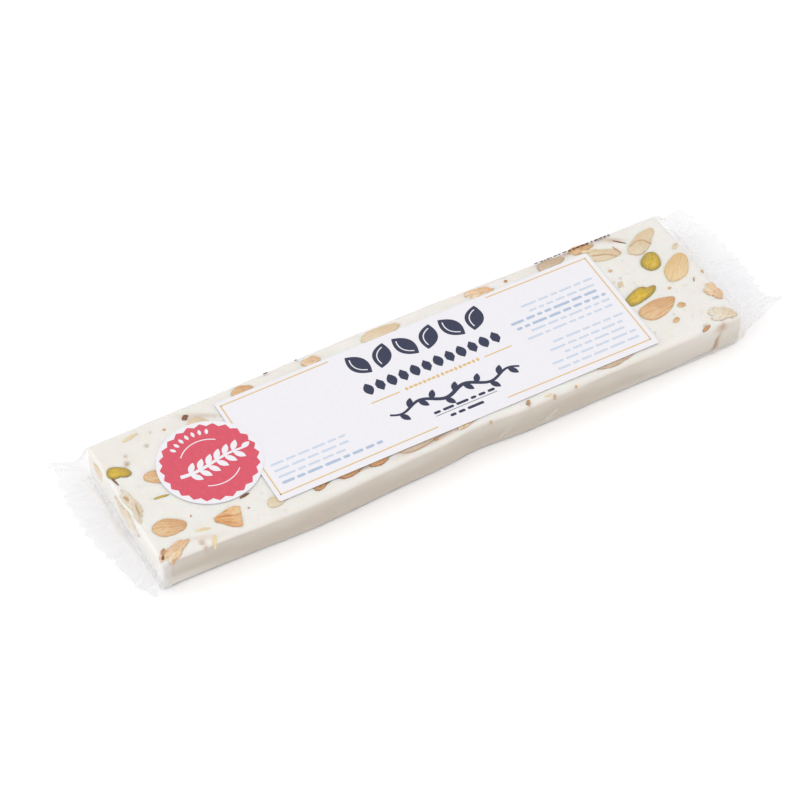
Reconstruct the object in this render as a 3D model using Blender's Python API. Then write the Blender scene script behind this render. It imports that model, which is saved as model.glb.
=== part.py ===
"""A bar of nougat with almonds and pistachios, in a clear flow-wrap film.

X runs along the bar, the front long side faces -Y, and Z is up. The film's
underside lies on z = 0. A paper label and a round sticker lie on the film.
"""

import math

import bmesh
import bpy
from mathutils import Matrix, Vector

MM = 0.001
SMOOTH_ANGLE = math.radians(40)
SLIVER_LENGTH = 0.001 * MM

# Wrapped bar, measured over the film
PACK_LENGTH = 187.2 * MM
PACK_HEIGHT = 11.2 * MM
FRONT_Y = -24.5 * MM
BACK_Y = 24.0 * MM
EDGE_RADIUS = 2.6 * MM
BAR_OFFSET = Vector((-0.63 * MM, 0.25 * MM, 0.0))

# Waves of the two long sides: height, place along the bar and spread
FRONT_WAVES = ((1.4 * MM, -48 * MM, 24 * MM), (-1.2 * MM, 6 * MM, 9 * MM))
BACK_WAVES = ((1.4 * MM, -8 * MM, 52 * MM),)

# Film
FILM_THICKNESS = 0.3 * MM
GAP = 0.3 * MM
SEAL_SLIT = 0.3 * MM
GUSSET_SHARE = 0.36
SIDE_GUSSET_SHARE = 0.95
SIDE_GUSSET_POWER = 8
FIN_STATIONS = (0.17, GUSSET_SHARE, 0.68, 1.0)
RIDGE_HEIGHT = 0.55 * MM
TOOTH_DEPTH = 1.8 * MM
FILM_TOP_POINTS = 20
FILM_STATIONS = 11
SLOPE_STEP = 0.02

# Fin tips: place across the fin (-1 front, 1 back), reach past the bar, y and z
LEFT_FIN = (
    (-1.00, 3.6, -26.3, 1.6),
    (-0.75, 7.0, -20.5, 2.6),
    (-0.40, 9.6, -11.5, 5.0),
    (0.00, 12.4, 0.0, 7.0),
    (0.50, 11.8, 13.6, 7.4),
    (0.85, 10.6, 22.6, 7.6),
    (1.00, 11.8, 25.8, 8.0),
)
RIGHT_FIN = (
    (-1.00, 14.0, -24.4, 11.6),
    (-0.75, 12.4, -19.6, 7.0),
    (-0.40, 13.4, -10.8, 6.6),
    (0.00, 13.6, 0.0, 7.2),
    (0.50, 12.4, 12.2, 7.4),
    (0.85, 10.8, 20.6, 7.4),
    (1.00, 9.2, 24.2, 7.8),
)

# Nougat
NOUGAT_TOP_POINTS = 8
NOUGAT_STATIONS = 9
END_ROUNDING = ((0.0, 0.9), (0.3, 0.3), (1.0, 0.0))
ARC_STEPS = 3

# Nuts: kind, centre x and y, length, width, turn in degrees; all but the last in millimetres
TOP_NUTS = (
    ("pistachio", -89.8, 11.0, 7.0, 4.6, -29),
    ("pistachio", 82.1, 7.6, 7.6, 5.8, 54),
    ("pistachio", 72.2, -2.4, 11.6, 4.8, 12),
    ("almond", -80.0, 4.2, 9.6, 4.4, -30),
    ("almond", -85.8, -13.0, 9.6, 6.0, -16),
    ("almond", -69.8, -18.0, 9.4, 7.4, -20),
    ("almond", -88.4, -21.0, 11.0, 4.6, 22),
    ("almond", -62.4, 16.0, 6.4, 5.4, -20),
    ("almond", -56.3, -19.2, 6.0, 4.0, -5),
    ("almond", -42.8, -19.2, 6.8, 4.6, 5),
    ("almond", -33.8, -19.2, 7.6, 4.6, -4),
    ("almond", -24.4, -19.3, 7.6, 4.8, 6),
    ("almond", -11.4, -19.6, 15.0, 4.2, 2),
    ("almond", 3.0, -19.2, 7.6, 4.6, 0),
    ("almond", 52.3, -20.0, 12.4, 4.6, -3),
    ("almond", -46.0, 21.2, 6.8, 4.0, 0),
    ("almond", -23.7, 21.6, 6.2, 4.0, 4),
    ("almond", -1.0, 21.6, 13.0, 4.4, 2),
    ("almond", 31.7, 21.2, 9.4, 4.4, -6),
    ("almond", 55.8, 21.0, 9.2, 4.0, 3),
    ("almond", 66.6, 22.0, 8.6, 3.2, -3),
    ("almond", 84.2, 15.8, 12.4, 5.6, 30),
    ("almond", 71.3, 16.6, 10.8, 4.6, -18),
    ("almond", 87.7, 2.0, 12.0, 6.6, 43),
    ("almond", 74.0, -9.2, 12.6, 6.4, 9),
    ("almond", 91.6, -11.6, 7.6, 4.4, -78),
    ("almond", 88.9, -20.2, 9.0, 5.2, -27),
)
UNDERSIDE_NUTS = (
    ("almond", -78.0, 10.0, 13.0, 6.6, 35),
    ("pistachio", -64.0, -8.0, 8.0, 5.0, -50),
    ("almond", -47.0, 8.0, 11.0, 6.4, -20),
    ("almond", -26.0, -11.0, 12.0, 6.4, 12),
    ("pistachio", -8.0, 9.0, 7.6, 4.8, 70),
    ("almond", 12.0, -5.0, 13.0, 7.0, -38),
    ("almond", 34.0, 10.0, 10.0, 6.0, 55),
    ("pistachio", 51.0, -9.0, 8.4, 5.2, 5),
    ("almond", 68.0, 6.0, 12.4, 6.8, -12),
    ("almond", 84.0, -10.0, 9.4, 6.0, 80),
)
# Nuts cut at the two end faces: end, centre y and z, length along y, height
END_NUTS = (
    (-1, -0.8, 6.2, 15.6, 5.8),
    (-1, 17.4, 6.8, 5.8, 5.0),
    (1, 11.4, 4.6, 9.6, 4.6),
    (1, -19.5, 3.8, 8.0, 4.2),
)
NUT_SEGMENTS = 10
NUT_RINGS = 6
NUT_DEPTH = 3.1 * MM
NUT_SINK = 1.0 * MM
END_NUT_DEPTH = 4.2 * MM
END_NUT_SINK = 1.4 * MM
ALMOND_TAPER = 0.30
PISTACHIO_TAPER = 0.10

# Air holes in the top face: x, y and radius in millimetres
AIR_HOLES = (
    (-80.6, -22.0, 0.9),
    (-86.2, 14.6, 0.8),
    (-84.4, 17.6, 0.9),
    (-78.6, 16.0, 0.8),
    (75.7, -16.2, 1.3),
    (81.4, -22.2, 1.2),
    (80.4, -5.0, 0.7),
    (69.3, 10.0, 0.6),
    (22.4, -22.4, 0.9),
    (-66.8, 20.8, 0.9),
)
HOLE_SEGMENTS = 8
HOLE_RINGS = 5
HOLE_SINK = 0.25

# Paper on the film
PAPER_THICKNESS = 0.25 * MM
LABEL_LENGTH = 122.5 * MM
LABEL_WIDTH = 40.5 * MM
LABEL_CENTRE = Vector((5.6 * MM, -0.4 * MM))
LABEL_TURN = math.radians(-0.5)
LABEL_CORNER = 0.8 * MM
LABEL_CORNER_STEPS = 3
STICKER_RADIUS = 15.0 * MM
STICKER_CENTRE = Vector((-66.1 * MM, 2.0 * MM))
STICKER_SIDES = 40
STICKER_RAMP = 1.6 * MM


def clear_scene():
    for old in list(bpy.data.objects):
        bpy.data.objects.remove(old, do_unlink=True)


def make_material(name, colour, roughness, alpha=1.0):
    material = bpy.data.materials.new(name)
    material.use_nodes = True
    shader = material.node_tree.nodes["Principled BSDF"]
    shader.inputs["Base Color"].default_value = (*colour, 1.0)
    shader.inputs["Roughness"].default_value = roughness
    shader.inputs["Metallic"].default_value = 0.0
    shader.inputs["Alpha"].default_value = alpha
    return material


def add_object(name, bm, material, parent):
    bmesh.ops.recalc_face_normals(bm, faces=bm.faces)
    mesh = bpy.data.meshes.new(name)
    bm.to_mesh(mesh)
    bm.free()
    mesh.shade_smooth()
    mesh.set_sharp_from_angle(angle=SMOOTH_ANGLE)
    mesh.materials.append(material)
    item = bpy.data.objects.new(name, mesh)
    item.parent = parent
    bpy.context.collection.objects.link(item)
    return item


def wave_sum(waves, x):
    return sum(height * math.exp(-((x - place) / spread) ** 2) for height, place, spread in waves)


def side_limits(x):
    """The pack's front and back y at a place along the bar, over the film."""
    return FRONT_Y - wave_sum(FRONT_WAVES, x), BACK_Y + wave_sum(BACK_WAVES, x)


def rounded_half(front, back, middle, half_height, radius, top_points, side_gap):
    """Upper half of a rounded rectangle, from the front mid-side to the back mid-side, as (y, z)."""
    top = middle + half_height
    half = [(front, middle + side_gap)]
    for step in range(ARC_STEPS + 1):
        angle = math.pi / 2 * step / ARC_STEPS
        half.append((front + radius * (1 - math.cos(angle)), top - radius * (1 - math.sin(angle))))
    for step in range(1, top_points + 1):
        share = step / (top_points + 1)
        half.append((front + radius + (back - front - 2 * radius) * share, top))
    for step in range(ARC_STEPS + 1):
        angle = math.pi / 2 * (1 - step / ARC_STEPS)
        half.append((back - radius * (1 - math.cos(angle)), top - radius * (1 - math.sin(angle))))
    half.append((back, middle + side_gap))
    return half


def full_loop(half, middle):
    """The upper half and its mirror image below, as one loop."""
    lower = [(y, 2 * middle - z) for y, z in reversed(half)]
    return half + lower


def body_loop(x, inset, side_gap, top_points):
    """Cross-section of the wrapped bar, moved in from the film's outer face by inset."""
    front, back = side_limits(x)
    middle = PACK_HEIGHT / 2
    radius = EDGE_RADIUS - inset
    half = rounded_half(front + inset, back - inset, middle, middle - inset, radius, top_points, side_gap)
    return full_loop(half, middle)


def read_table(table, place, column):
    """Smooth value of a fin table's column at a place across the fin."""
    for lower, upper in zip(table, table[1:]):
        if place <= upper[0]:
            share = (place - lower[0]) / (upper[0] - lower[0])
            eased = share * share * (3 - 2 * share)
            return (lower[column] + (upper[column] - lower[column]) * (share + eased) / 2) * MM
    return table[-1][column] * MM


def fin_tip(table, place):
    return Vector((read_table(table, place, 2), read_table(table, place, 3)))


def fin_root(place):
    """The middle of the bar's end, at a place across the fin."""
    front, back = side_limits(0.0)
    return Vector((front + (back - front) * (place + 1) / 2, PACK_HEIGHT / 2))


def fin_middle(table, place, share):
    """The fin's middle surface as (y, z), rising from the bar's mid-height to the tip."""
    ease = share * share * (3 - 2 * share)
    return fin_root(place).lerp(fin_tip(table, place), ease)


def gusset_share(place):
    """How far out the film closes to a flat seal; its two sides close last."""
    return GUSSET_SHARE + (SIDE_GUSSET_SHARE - GUSSET_SHARE) * abs(place) ** SIDE_GUSSET_POWER


def fin_ring(end, table, share, inset):
    """One closed ring of the fin, blended from the bar's section to the flat seal."""
    half_gap = SEAL_SLIT / 2 + FILM_THICKNESS - inset
    section = body_loop(end * PACK_LENGTH / 2, inset, half_gap, FILM_TOP_POINTS)
    count = len(section) // 2
    ring = []
    for index, (y, z) in enumerate(section):
        above = index < count
        across = index if above else 2 * count - 1 - index
        place = -1 + 2 * across / (count - 1)
        middle = fin_middle(table, place, share)
        ahead = fin_middle(table, min(place + SLOPE_STEP, 1), share)
        ahead = (ahead - fin_middle(table, max(place - SLOPE_STEP, -1), share)).normalized()
        normal = Vector((-ahead.y, ahead.x))
        sign = 1 if across % 2 else -1
        middle += normal * RIDGE_HEIGHT * sign * max(0.0, (share - GUSSET_SHARE) / (1 - GUSSET_SHARE))
        if across in (0, count - 1):
            middle += ahead * (FILM_THICKNESS - inset) * (1 if across else -1)
        flat = middle + normal * (half_gap if above else -half_gap)
        blend = min(1.0, share / gusset_share(place))
        blend = blend * blend * (3 - 2 * blend)
        point = Vector((y, z)).lerp(flat, blend)
        reach = read_table(table, place, 1) * share
        if share == 1.0:
            reach += TOOTH_DEPTH * sign / 2
        ring.append(Vector((end * (PACK_LENGTH / 2 + reach), point.x, point.y)))
    return ring


def film_rings(inset):
    """Rings of points for one face of the film, from the left fin's tip to the right fin's tip."""
    half_gap = SEAL_SLIT / 2 + FILM_THICKNESS - inset
    rings = [fin_ring(-1, LEFT_FIN, share, inset) for share in reversed(FIN_STATIONS)]
    for station in range(FILM_STATIONS):
        x = PACK_LENGTH / 2 * math.sin(math.pi * (station / (FILM_STATIONS - 1) - 0.5))
        rings.append([Vector((x, y, z)) for y, z in body_loop(x, inset, half_gap, FILM_TOP_POINTS)])
    rings += [fin_ring(1, RIGHT_FIN, share, inset) for share in FIN_STATIONS]
    return rings


def skin_rings(bm, rings, flip=False):
    """Quads between neighbouring rings; returns the rings of vertices."""
    made = [[bm.verts.new(point) for point in ring] for ring in rings]
    for near, far in zip(made, made[1:]):
        count = len(near)
        for index in range(count):
            after = (index + 1) % count
            corners = [near[index], near[after], far[after], far[index]]
            bm.faces.new(corners[::-1] if flip else corners)
    return made


def build_wrapper(material, parent):
    """A flattened tube of film, open along the slit in each end seal."""
    bm = bmesh.new()
    outer = skin_rings(bm, film_rings(0.0))
    inner = skin_rings(bm, film_rings(FILM_THICKNESS), flip=True)
    for outside, inside in ((outer[0], inner[0]), (outer[-1], inner[-1])):
        count = len(outside)
        for index in range(count):
            after = (index + 1) % count
            bm.faces.new((outside[index], outside[after], inside[after], inside[index]))
    return add_object("wrapper", bm, material, parent)


def nougat_surface():
    """The nougat's closed outer form, before its nuts and holes are cut."""
    inset = FILM_THICKNESS + GAP
    half_length = PACK_LENGTH / 2 - inset
    ends = [(half_length - back_step * MM, shrink * MM) for back_step, shrink in END_ROUNDING]
    inner_limit = ends[-1][0]
    stations = [(-x, shrink) for x, shrink in ends]
    for station in range(1, NOUGAT_STATIONS):
        stations.append((inner_limit * (2 * station / NOUGAT_STATIONS - 1), 0.0))
    stations += ends[::-1]
    bm = bmesh.new()
    rings = []
    for x, shrink in stations:
        loop = body_loop(x, inset + shrink, GAP, NOUGAT_TOP_POINTS)
        rings.append([Vector((x, y, z)) for y, z in loop])
    made = skin_rings(bm, rings)
    bm.faces.new(made[0][::-1])
    bm.faces.new(made[-1])
    bmesh.ops.recalc_face_normals(bm, faces=bm.faces)
    return bm


def nut_body(length, width, depth, taper):
    """A nut lying along X: an ellipsoid whose +X end is the more pointed one."""
    bm = bmesh.new()
    tips = (bm.verts.new((-length / 2, 0, 0)), bm.verts.new((length / 2, 0, 0)))
    rings = []
    for ring in range(1, NUT_RINGS):
        angle = math.pi * ring / NUT_RINGS
        x = -length / 2 * math.cos(angle)
        swell = math.sin(angle) * (1 + taper * math.cos(angle))
        points = []
        for segment in range(NUT_SEGMENTS):
            turn = 2 * math.pi * (segment + 0.5) / NUT_SEGMENTS
            y = width / 2 * swell * math.cos(turn)
            points.append(bm.verts.new((x, y, depth * swell * math.sin(turn))))
        rings.append(points)
    for near, far in zip(rings, rings[1:]):
        for index in range(NUT_SEGMENTS):
            after = (index + 1) % NUT_SEGMENTS
            bm.faces.new((near[index], near[after], far[after], far[index]))
    for tip, ring in zip(tips, (rings[0], rings[-1])):
        for index in range(NUT_SEGMENTS):
            bm.faces.new((tip, ring[index], ring[(index + 1) % NUT_SEGMENTS]))
    bmesh.ops.recalc_face_normals(bm, faces=bm.faces)
    return bm


def nut_places():
    """Name, kind, full length and width with half depth, and placement of each nut."""
    bottom_z = FILM_THICKNESS + GAP
    top_z = PACK_HEIGHT - bottom_z
    sides = ((TOP_NUTS, top_z, -1), (UNDERSIDE_NUTS, bottom_z, 1))
    grow = 1 / math.sqrt(1 - (NUT_SINK / NUT_DEPTH) ** 2)
    counts = {"almond": 0, "pistachio": 0}
    for nuts, surface, inward in sides:
        for kind, x, y, length, width, turn in nuts:
            counts[kind] += 1
            place = Matrix.Translation((x * MM, y * MM, surface + inward * NUT_SINK))
            place = place @ Matrix.Rotation(math.radians(turn), 4, "Z")
            size = Vector((length * MM * grow, width * MM * grow, NUT_DEPTH))
            yield f"{kind}_{counts[kind]:02d}", kind, size, place
    grow = 1 / math.sqrt(1 - (END_NUT_SINK / END_NUT_DEPTH) ** 2)
    for end, y, z, length, height in END_NUTS:
        counts["almond"] += 1
        x = end * (PACK_LENGTH / 2 - bottom_z - END_NUT_SINK)
        place = Matrix.Translation((x, y * MM, z * MM)) @ Matrix.Rotation(math.radians(90), 4, "Z")
        place = place @ Matrix.Rotation(math.radians(90), 4, "X")
        size = Vector((length * MM * grow, height * MM * grow, END_NUT_DEPTH))
        yield f"almond_{counts['almond']:02d}", "almond", size, place


def placed_nut(kind, size, place, extra):
    """One nut body in its place, swollen all round by extra."""
    taper = ALMOND_TAPER if kind == "almond" else PISTACHIO_TAPER
    bm = nut_body(size.x + 2 * extra, size.y + 2 * extra, size.z + extra, taper)
    bm.transform(place)
    return bm


def cut(item, cutter, operation):
    """Apply one Boolean to an object and drop the cutter."""
    modifier = item.modifiers.new("cut", "BOOLEAN")
    modifier.operation = operation
    modifier.solver = "EXACT"
    modifier.object = cutter
    depsgraph = bpy.context.evaluated_depsgraph_get()
    mesh = bpy.data.meshes.new_from_object(item.evaluated_get(depsgraph))
    item.modifiers.clear()
    old = item.data
    item.data = mesh
    mesh.name = item.name
    bpy.data.meshes.remove(old)
    bpy.data.objects.remove(cutter, do_unlink=True)


def hole_body(x, y, radius):
    """A ball that opens a round air hole in the top face."""
    bm = bmesh.new()
    bmesh.ops.create_uvsphere(bm, u_segments=HOLE_SEGMENTS, v_segments=HOLE_RINGS, radius=radius * MM)
    surface = PACK_HEIGHT - FILM_THICKNESS - GAP
    bm.transform(Matrix.Translation((x * MM, y * MM, surface - radius * MM * HOLE_SINK)))
    return bm


def merge_into(target, source):
    """Copy one bmesh's geometry into another."""
    mesh = bpy.data.meshes.new("part")
    source.to_mesh(mesh)
    source.free()
    target.from_mesh(mesh)
    bpy.data.meshes.remove(mesh)


def build_nougat_and_nuts(nougat_material, nut_materials, parent):
    """The nuts are cut flush with the bar, and the bar gets a socket round each of them."""
    sockets = bmesh.new()
    for name, kind, size, place in nut_places():
        merge_into(sockets, placed_nut(kind, size, place, GAP))
        nut = add_object(name, placed_nut(kind, size, place, 0.0), nut_materials[kind], parent)
        whole = add_object("whole_bar", nougat_surface(), nougat_material, parent)
        cut(nut, whole, "INTERSECT")
        finish_cut(nut, nut_materials[kind])
    for hole in AIR_HOLES:
        merge_into(sockets, hole_body(*hole))
    nougat = add_object("nougat", nougat_surface(), nougat_material, parent)
    cutter = add_object("sockets", sockets, nougat_material, parent)
    cut(nougat, cutter, "DIFFERENCE")
    finish_cut(nougat, nougat_material)


def finish_cut(item, material):
    """Clean a cut mesh: one material, and smooth faces with sharp rims."""
    bm = bmesh.new()
    bm.from_mesh(item.data)
    bmesh.ops.dissolve_degenerate(bm, dist=SLIVER_LENGTH, edges=bm.edges)
    bmesh.ops.triangulate(bm, faces=bm.faces)
    bm.to_mesh(item.data)
    bm.free()
    item.data.materials.clear()
    item.data.materials.append(material)
    item.data.shade_smooth()
    item.data.set_sharp_from_angle(angle=SMOOTH_ANGLE)


def build_label(material, parent):
    """A paper plate with small round corners, on the film."""
    bm = bmesh.new()
    bmesh.ops.create_cube(bm, size=1.0)
    bmesh.ops.scale(bm, vec=(LABEL_LENGTH, LABEL_WIDTH, PAPER_THICKNESS), verts=bm.verts)
    upright = [edge for edge in bm.edges if edge.verts[0].co.xy == edge.verts[1].co.xy]
    bmesh.ops.bevel(bm, geom=upright, offset=LABEL_CORNER, segments=LABEL_CORNER_STEPS, affect="EDGES")
    label = add_object("label", bm, material, parent)
    label.location = (*LABEL_CENTRE, PACK_HEIGHT + GAP + PAPER_THICKNESS / 2)
    label.rotation_euler.z = LABEL_TURN
    return label


def build_sticker(material, parent):
    """A round sticker that steps up from the film onto the label's left edge."""
    label_edge = LABEL_CENTRE.x - LABEL_LENGTH / 2 - STICKER_CENTRE.x
    step_start = label_edge - GAP - STICKER_RAMP
    step_end = label_edge - GAP
    bm = bmesh.new()
    bmesh.ops.create_circle(bm, cap_ends=True, segments=STICKER_SIDES, radius=STICKER_RADIUS)
    for x in (step_start, step_end):
        everything = bm.verts[:] + bm.edges[:] + bm.faces[:]
        bmesh.ops.bisect_plane(bm, geom=everything, plane_co=(x, 0, 0), plane_no=(1, 0, 0))
    rise = PAPER_THICKNESS + GAP
    for vert in bm.verts:
        share = min(1.0, max(0.0, (vert.co.x - step_start) / (step_end - step_start)))
        vert.co.z = rise * share
    top = bmesh.ops.extrude_face_region(bm, geom=bm.faces[:])
    lifted = [item for item in top["geom"] if isinstance(item, bmesh.types.BMVert)]
    bmesh.ops.translate(bm, vec=(0, 0, PAPER_THICKNESS), verts=lifted)
    sticker = add_object("sticker", bm, material, parent)
    sticker.location = (*STICKER_CENTRE, PACK_HEIGHT + GAP)
    return sticker


def main():
    clear_scene()
    pack = bpy.data.objects.new("pack_frame", None)
    pack.location = BAR_OFFSET
    bpy.context.collection.objects.link(pack)
    nut_materials = {
        "almond": make_material("almond", (0.58, 0.30, 0.10), 0.55),
        "pistachio": make_material("pistachio", (0.48, 0.47, 0.06), 0.5),
    }
    nougat_material = make_material("nougat", (0.83, 0.80, 0.70), 0.7)
    build_nougat_and_nuts(nougat_material, nut_materials, pack)
    build_wrapper(make_material("clear_film", (0.90, 0.91, 0.94), 0.12, alpha=0.25), pack)
    build_label(make_material("label_paper", (0.84, 0.83, 0.88), 0.5), pack)
    build_sticker(make_material("sticker_paper", (0.72, 0.10, 0.16), 0.5), pack)


main()
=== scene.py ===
"""A bar of nougat with almonds and pistachios in a clear flow-wrap film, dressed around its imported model.

The tables hold millimetres in the bar's own frame: X runs along the bar, the front long side faces -Y,
and Z is up from the film's underside. BAR_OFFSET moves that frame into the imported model's.
"""

import math
from collections import namedtuple

import bmesh
import bpy
import numpy as np
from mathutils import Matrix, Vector

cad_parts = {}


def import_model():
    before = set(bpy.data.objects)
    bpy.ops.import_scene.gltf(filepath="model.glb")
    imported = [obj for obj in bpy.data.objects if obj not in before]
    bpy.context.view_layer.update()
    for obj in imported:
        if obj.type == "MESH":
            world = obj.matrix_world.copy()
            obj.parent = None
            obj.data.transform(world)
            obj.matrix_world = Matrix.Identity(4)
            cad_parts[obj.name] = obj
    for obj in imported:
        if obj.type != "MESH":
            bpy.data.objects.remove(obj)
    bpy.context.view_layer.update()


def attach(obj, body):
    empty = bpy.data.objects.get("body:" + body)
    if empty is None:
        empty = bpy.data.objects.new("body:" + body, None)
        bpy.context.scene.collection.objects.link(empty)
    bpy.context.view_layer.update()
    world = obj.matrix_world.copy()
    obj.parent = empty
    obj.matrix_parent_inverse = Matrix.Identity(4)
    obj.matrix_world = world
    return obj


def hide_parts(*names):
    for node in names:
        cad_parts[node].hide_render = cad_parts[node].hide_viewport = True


MM = 0.001
WELD = 1e-7
SHARP_ANGLE = 50
BAR_OFFSET = np.array((-0.63, 0.25, 0.0))

# Camera and light
EYE = (-280.6, -488.05, 646.8)
AIM = (-9.0, -3.95, 11.3)
LENS = 134.64
SENSOR = 36.0
# Lights: name, place and size in metres, power
LIGHTS = (
    ("key", (-0.15, 0.1, 1.3), (1.8, 1.8), 4.45),
    ("side", (-1.2, 0.25, 0.4), (1.0, 0.6), 3.6),
    ("fill", (0.9, -0.5, 0.5), (0.8, 0.6), 1.4),
)
WORLD_COLOUR = (1.0, 0.99, 0.985)
WORLD_STRENGTH = 0.85
FLOOR_SIZE = 6.0
FLOOR_DROP = -0.00002
FLOOR_GLOW = 0.04
FLOOR_TONES = ((0.985, 0.985, 0.985), (0.975, 0.975, 0.98))

# Colours
NOUGAT_LIGHT = (0.88, 0.865, 0.82)
NOUGAT_WARM = (0.855, 0.83, 0.77)
NOUGAT_GRAIN = (0.74, 0.68, 0.55)
# Painted shade: the long sides' darker colour, standing in for the shade they get under the overhead light
NOUGAT_SIDE_SHADE = (0.605, 0.535, 0.45)
# Brown of the real stains and the crack, also used as painted shade inside the air holes
NOUGAT_STAIN_AND_SHADE = (0.50, 0.30, 0.15)
FILM_TINT = (0.98, 0.98, 0.985)
FILM_WHITE = (0.9, 0.9, 0.915)
FILM_MILK = 0.04
FIN_MILK = 0.36
# Painted highlight: how much whiter the film is along its front creases
CREASE_HIGHLIGHT = 5.0
CORNER_HAZE = 2.0
# Nut tones: light, dark and skin as screen values, share of stripes, and what differs from a plain cut
NUT_TONES = {
    "tan": ((238, 204, 156), (217, 164, 106), (200, 138, 74), 0.4, {"pitch": 10.0, "rim_strength": 0.4}),
    "pale": ((240, 226, 198), (228, 202, 162), (212, 172, 120), 0.35, {}),
    "orange": ((250, 228, 188), (232, 172, 100), (190, 108, 40), 0.7, {"veins": 0.7, "pitch": 7.0}),
    "striped": ((240, 206, 154), (226, 164, 92), (204, 116, 36), 1.0, {"pitch": 3.2}),
    # Brown almond skin, also darker as painted shade for the nuts along the label's front edge
    "brown": ((220, 166, 106), (200, 142, 84), (146, 88, 42), 0.5, {"rim_strength": 0.7}),
    "line": ((226, 188, 142), (210, 164, 114), (180, 126, 76), 0.4, {}),
    # Painted shade: a greyer, darker almond for nuts lying in shade along the label's edges
    "painted_shade": ((222, 202, 176), (204, 178, 146), (176, 124, 78), 0.3, {"rim_strength": 0.35}),
    "cream": ((252, 234, 194), (246, 220, 170), (226, 186, 128), 0.3, {}),
    "whole": ((240, 216, 168), (230, 192, 128), (214, 162, 94), 0.2,
              {"roughness": 0.42, "gloss": 0.2, "veins": 0.1}),
    "mixed": ((246, 240, 222), (230, 204, 164), (176, 128, 80), 0.6, {"veins": 0.8}),
    "skin": ((160, 104, 58), (124, 76, 44), (86, 54, 34), 0.5, {"roughness": 0.6, "veins": 0.0}),
    "pistachio": ((234, 196, 10), (198, 164, 2), (146, 126, 2), 0.4,
                  {"roughness": 0.35, "gloss": 0.4, "rim_strength": 0.8, "veins": 0.1, "rim_start": 0.6}),
}
# Papers and inks: screen values, fibre, roughness
INKS = {
    "coated_paper": ((232, 231, 236), 0.012, 0.42),
    "gold_ink": ((222, 186, 120), 0.03, 0.4),
    "navy_ink": ((38, 44, 74), 0.03, 0.45),
    "pale_blue_ink": ((200, 211, 227), 0.02, 0.5),
    "mid_blue_ink": ((174, 190, 213), 0.02, 0.5),
    "red_ink": ((216, 80, 100), 0.05, 0.45),
    "dark_mark_ink": ((74, 48, 40), 0.05, 0.5),
}

# Wrapped bar, over the film
PACK_LENGTH = 187.2
PACK_HEIGHT = 11.2
FRONT_Y = -24.5
BACK_Y = 24.0
# Radius of the upper long edges at the left end and further on; where it changes and over what length
EDGE_RADIUS = (1.5, 2.4)
EDGE_CHANGE = (-78.0, 36.0)
LOWER_RADIUS = 1.7
# Waves of the long sides: height, place along the bar, spread
FRONT_WAVES = ((1.4, -48.0, 24.0), (-1.2, 6.0, 9.0))
BACK_WAVES = ((1.4, -8.0, 52.0),)

# Nougat: how far it lies inside the film's outer face, and its grid
NOUGAT_INSET = 0.16
SIDE_STEPS = 7
ARC_STEPS = 6
TOP_STEP = 0.45
END_STEP = 0.45
MIDDLE_STEP = 1.1
FINE_LEFT = -47.0
FINE_RIGHT = 63.0
CAP_RINGS = 13
END_ROUND = 1.1
END_ROUND_STEPS = 4
# Layers of noise on the nougat's faces: strength, size of the lumps, seed, scale of each coordinate
TOP_NOISE = ((0.10, 11, 3, 1, 1), (0.05, 4.2, 5, 1, 1.3), (0.03, 1.7, 8, 1, 1), (0.04, 1.3, 21, 0.25, 1))
SIDE_NOISE = ((0.28, 17, 31, 1, 1), (0.14, 6.5, 33, 1, 1.4), (0.05, 2.4, 35, 1, 2), (0.07, 0.9, 37, 0.1, 1))
END_NOISE = ((0.18, 6, 41, 1, 1), (0.08, 2.2, 43, 1, 1))
EDGE_NOISE = ((0.16, 5.5, 51, 1, 0), (0.10, 1.9, 53, 1, 0))
# How far the uneven faces are drawn in, so that they stay under the film
TOP_SINK = 0.12
SIDE_SINK = 0.35
EDGE_SINK = 0.05
SIDE_GROOVE_Z = 9.2
SIDE_GROOVE_WIDTH = 0.45
SIDE_GROOVE_DEPTH = 0.2
CRACK_START = 78.0
CRACK_FOOT = 84.4
CRACK_LEAN = 0.36
CRACK_DEPTH = 0.55
CRACK_WIDTH = 0.7

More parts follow.
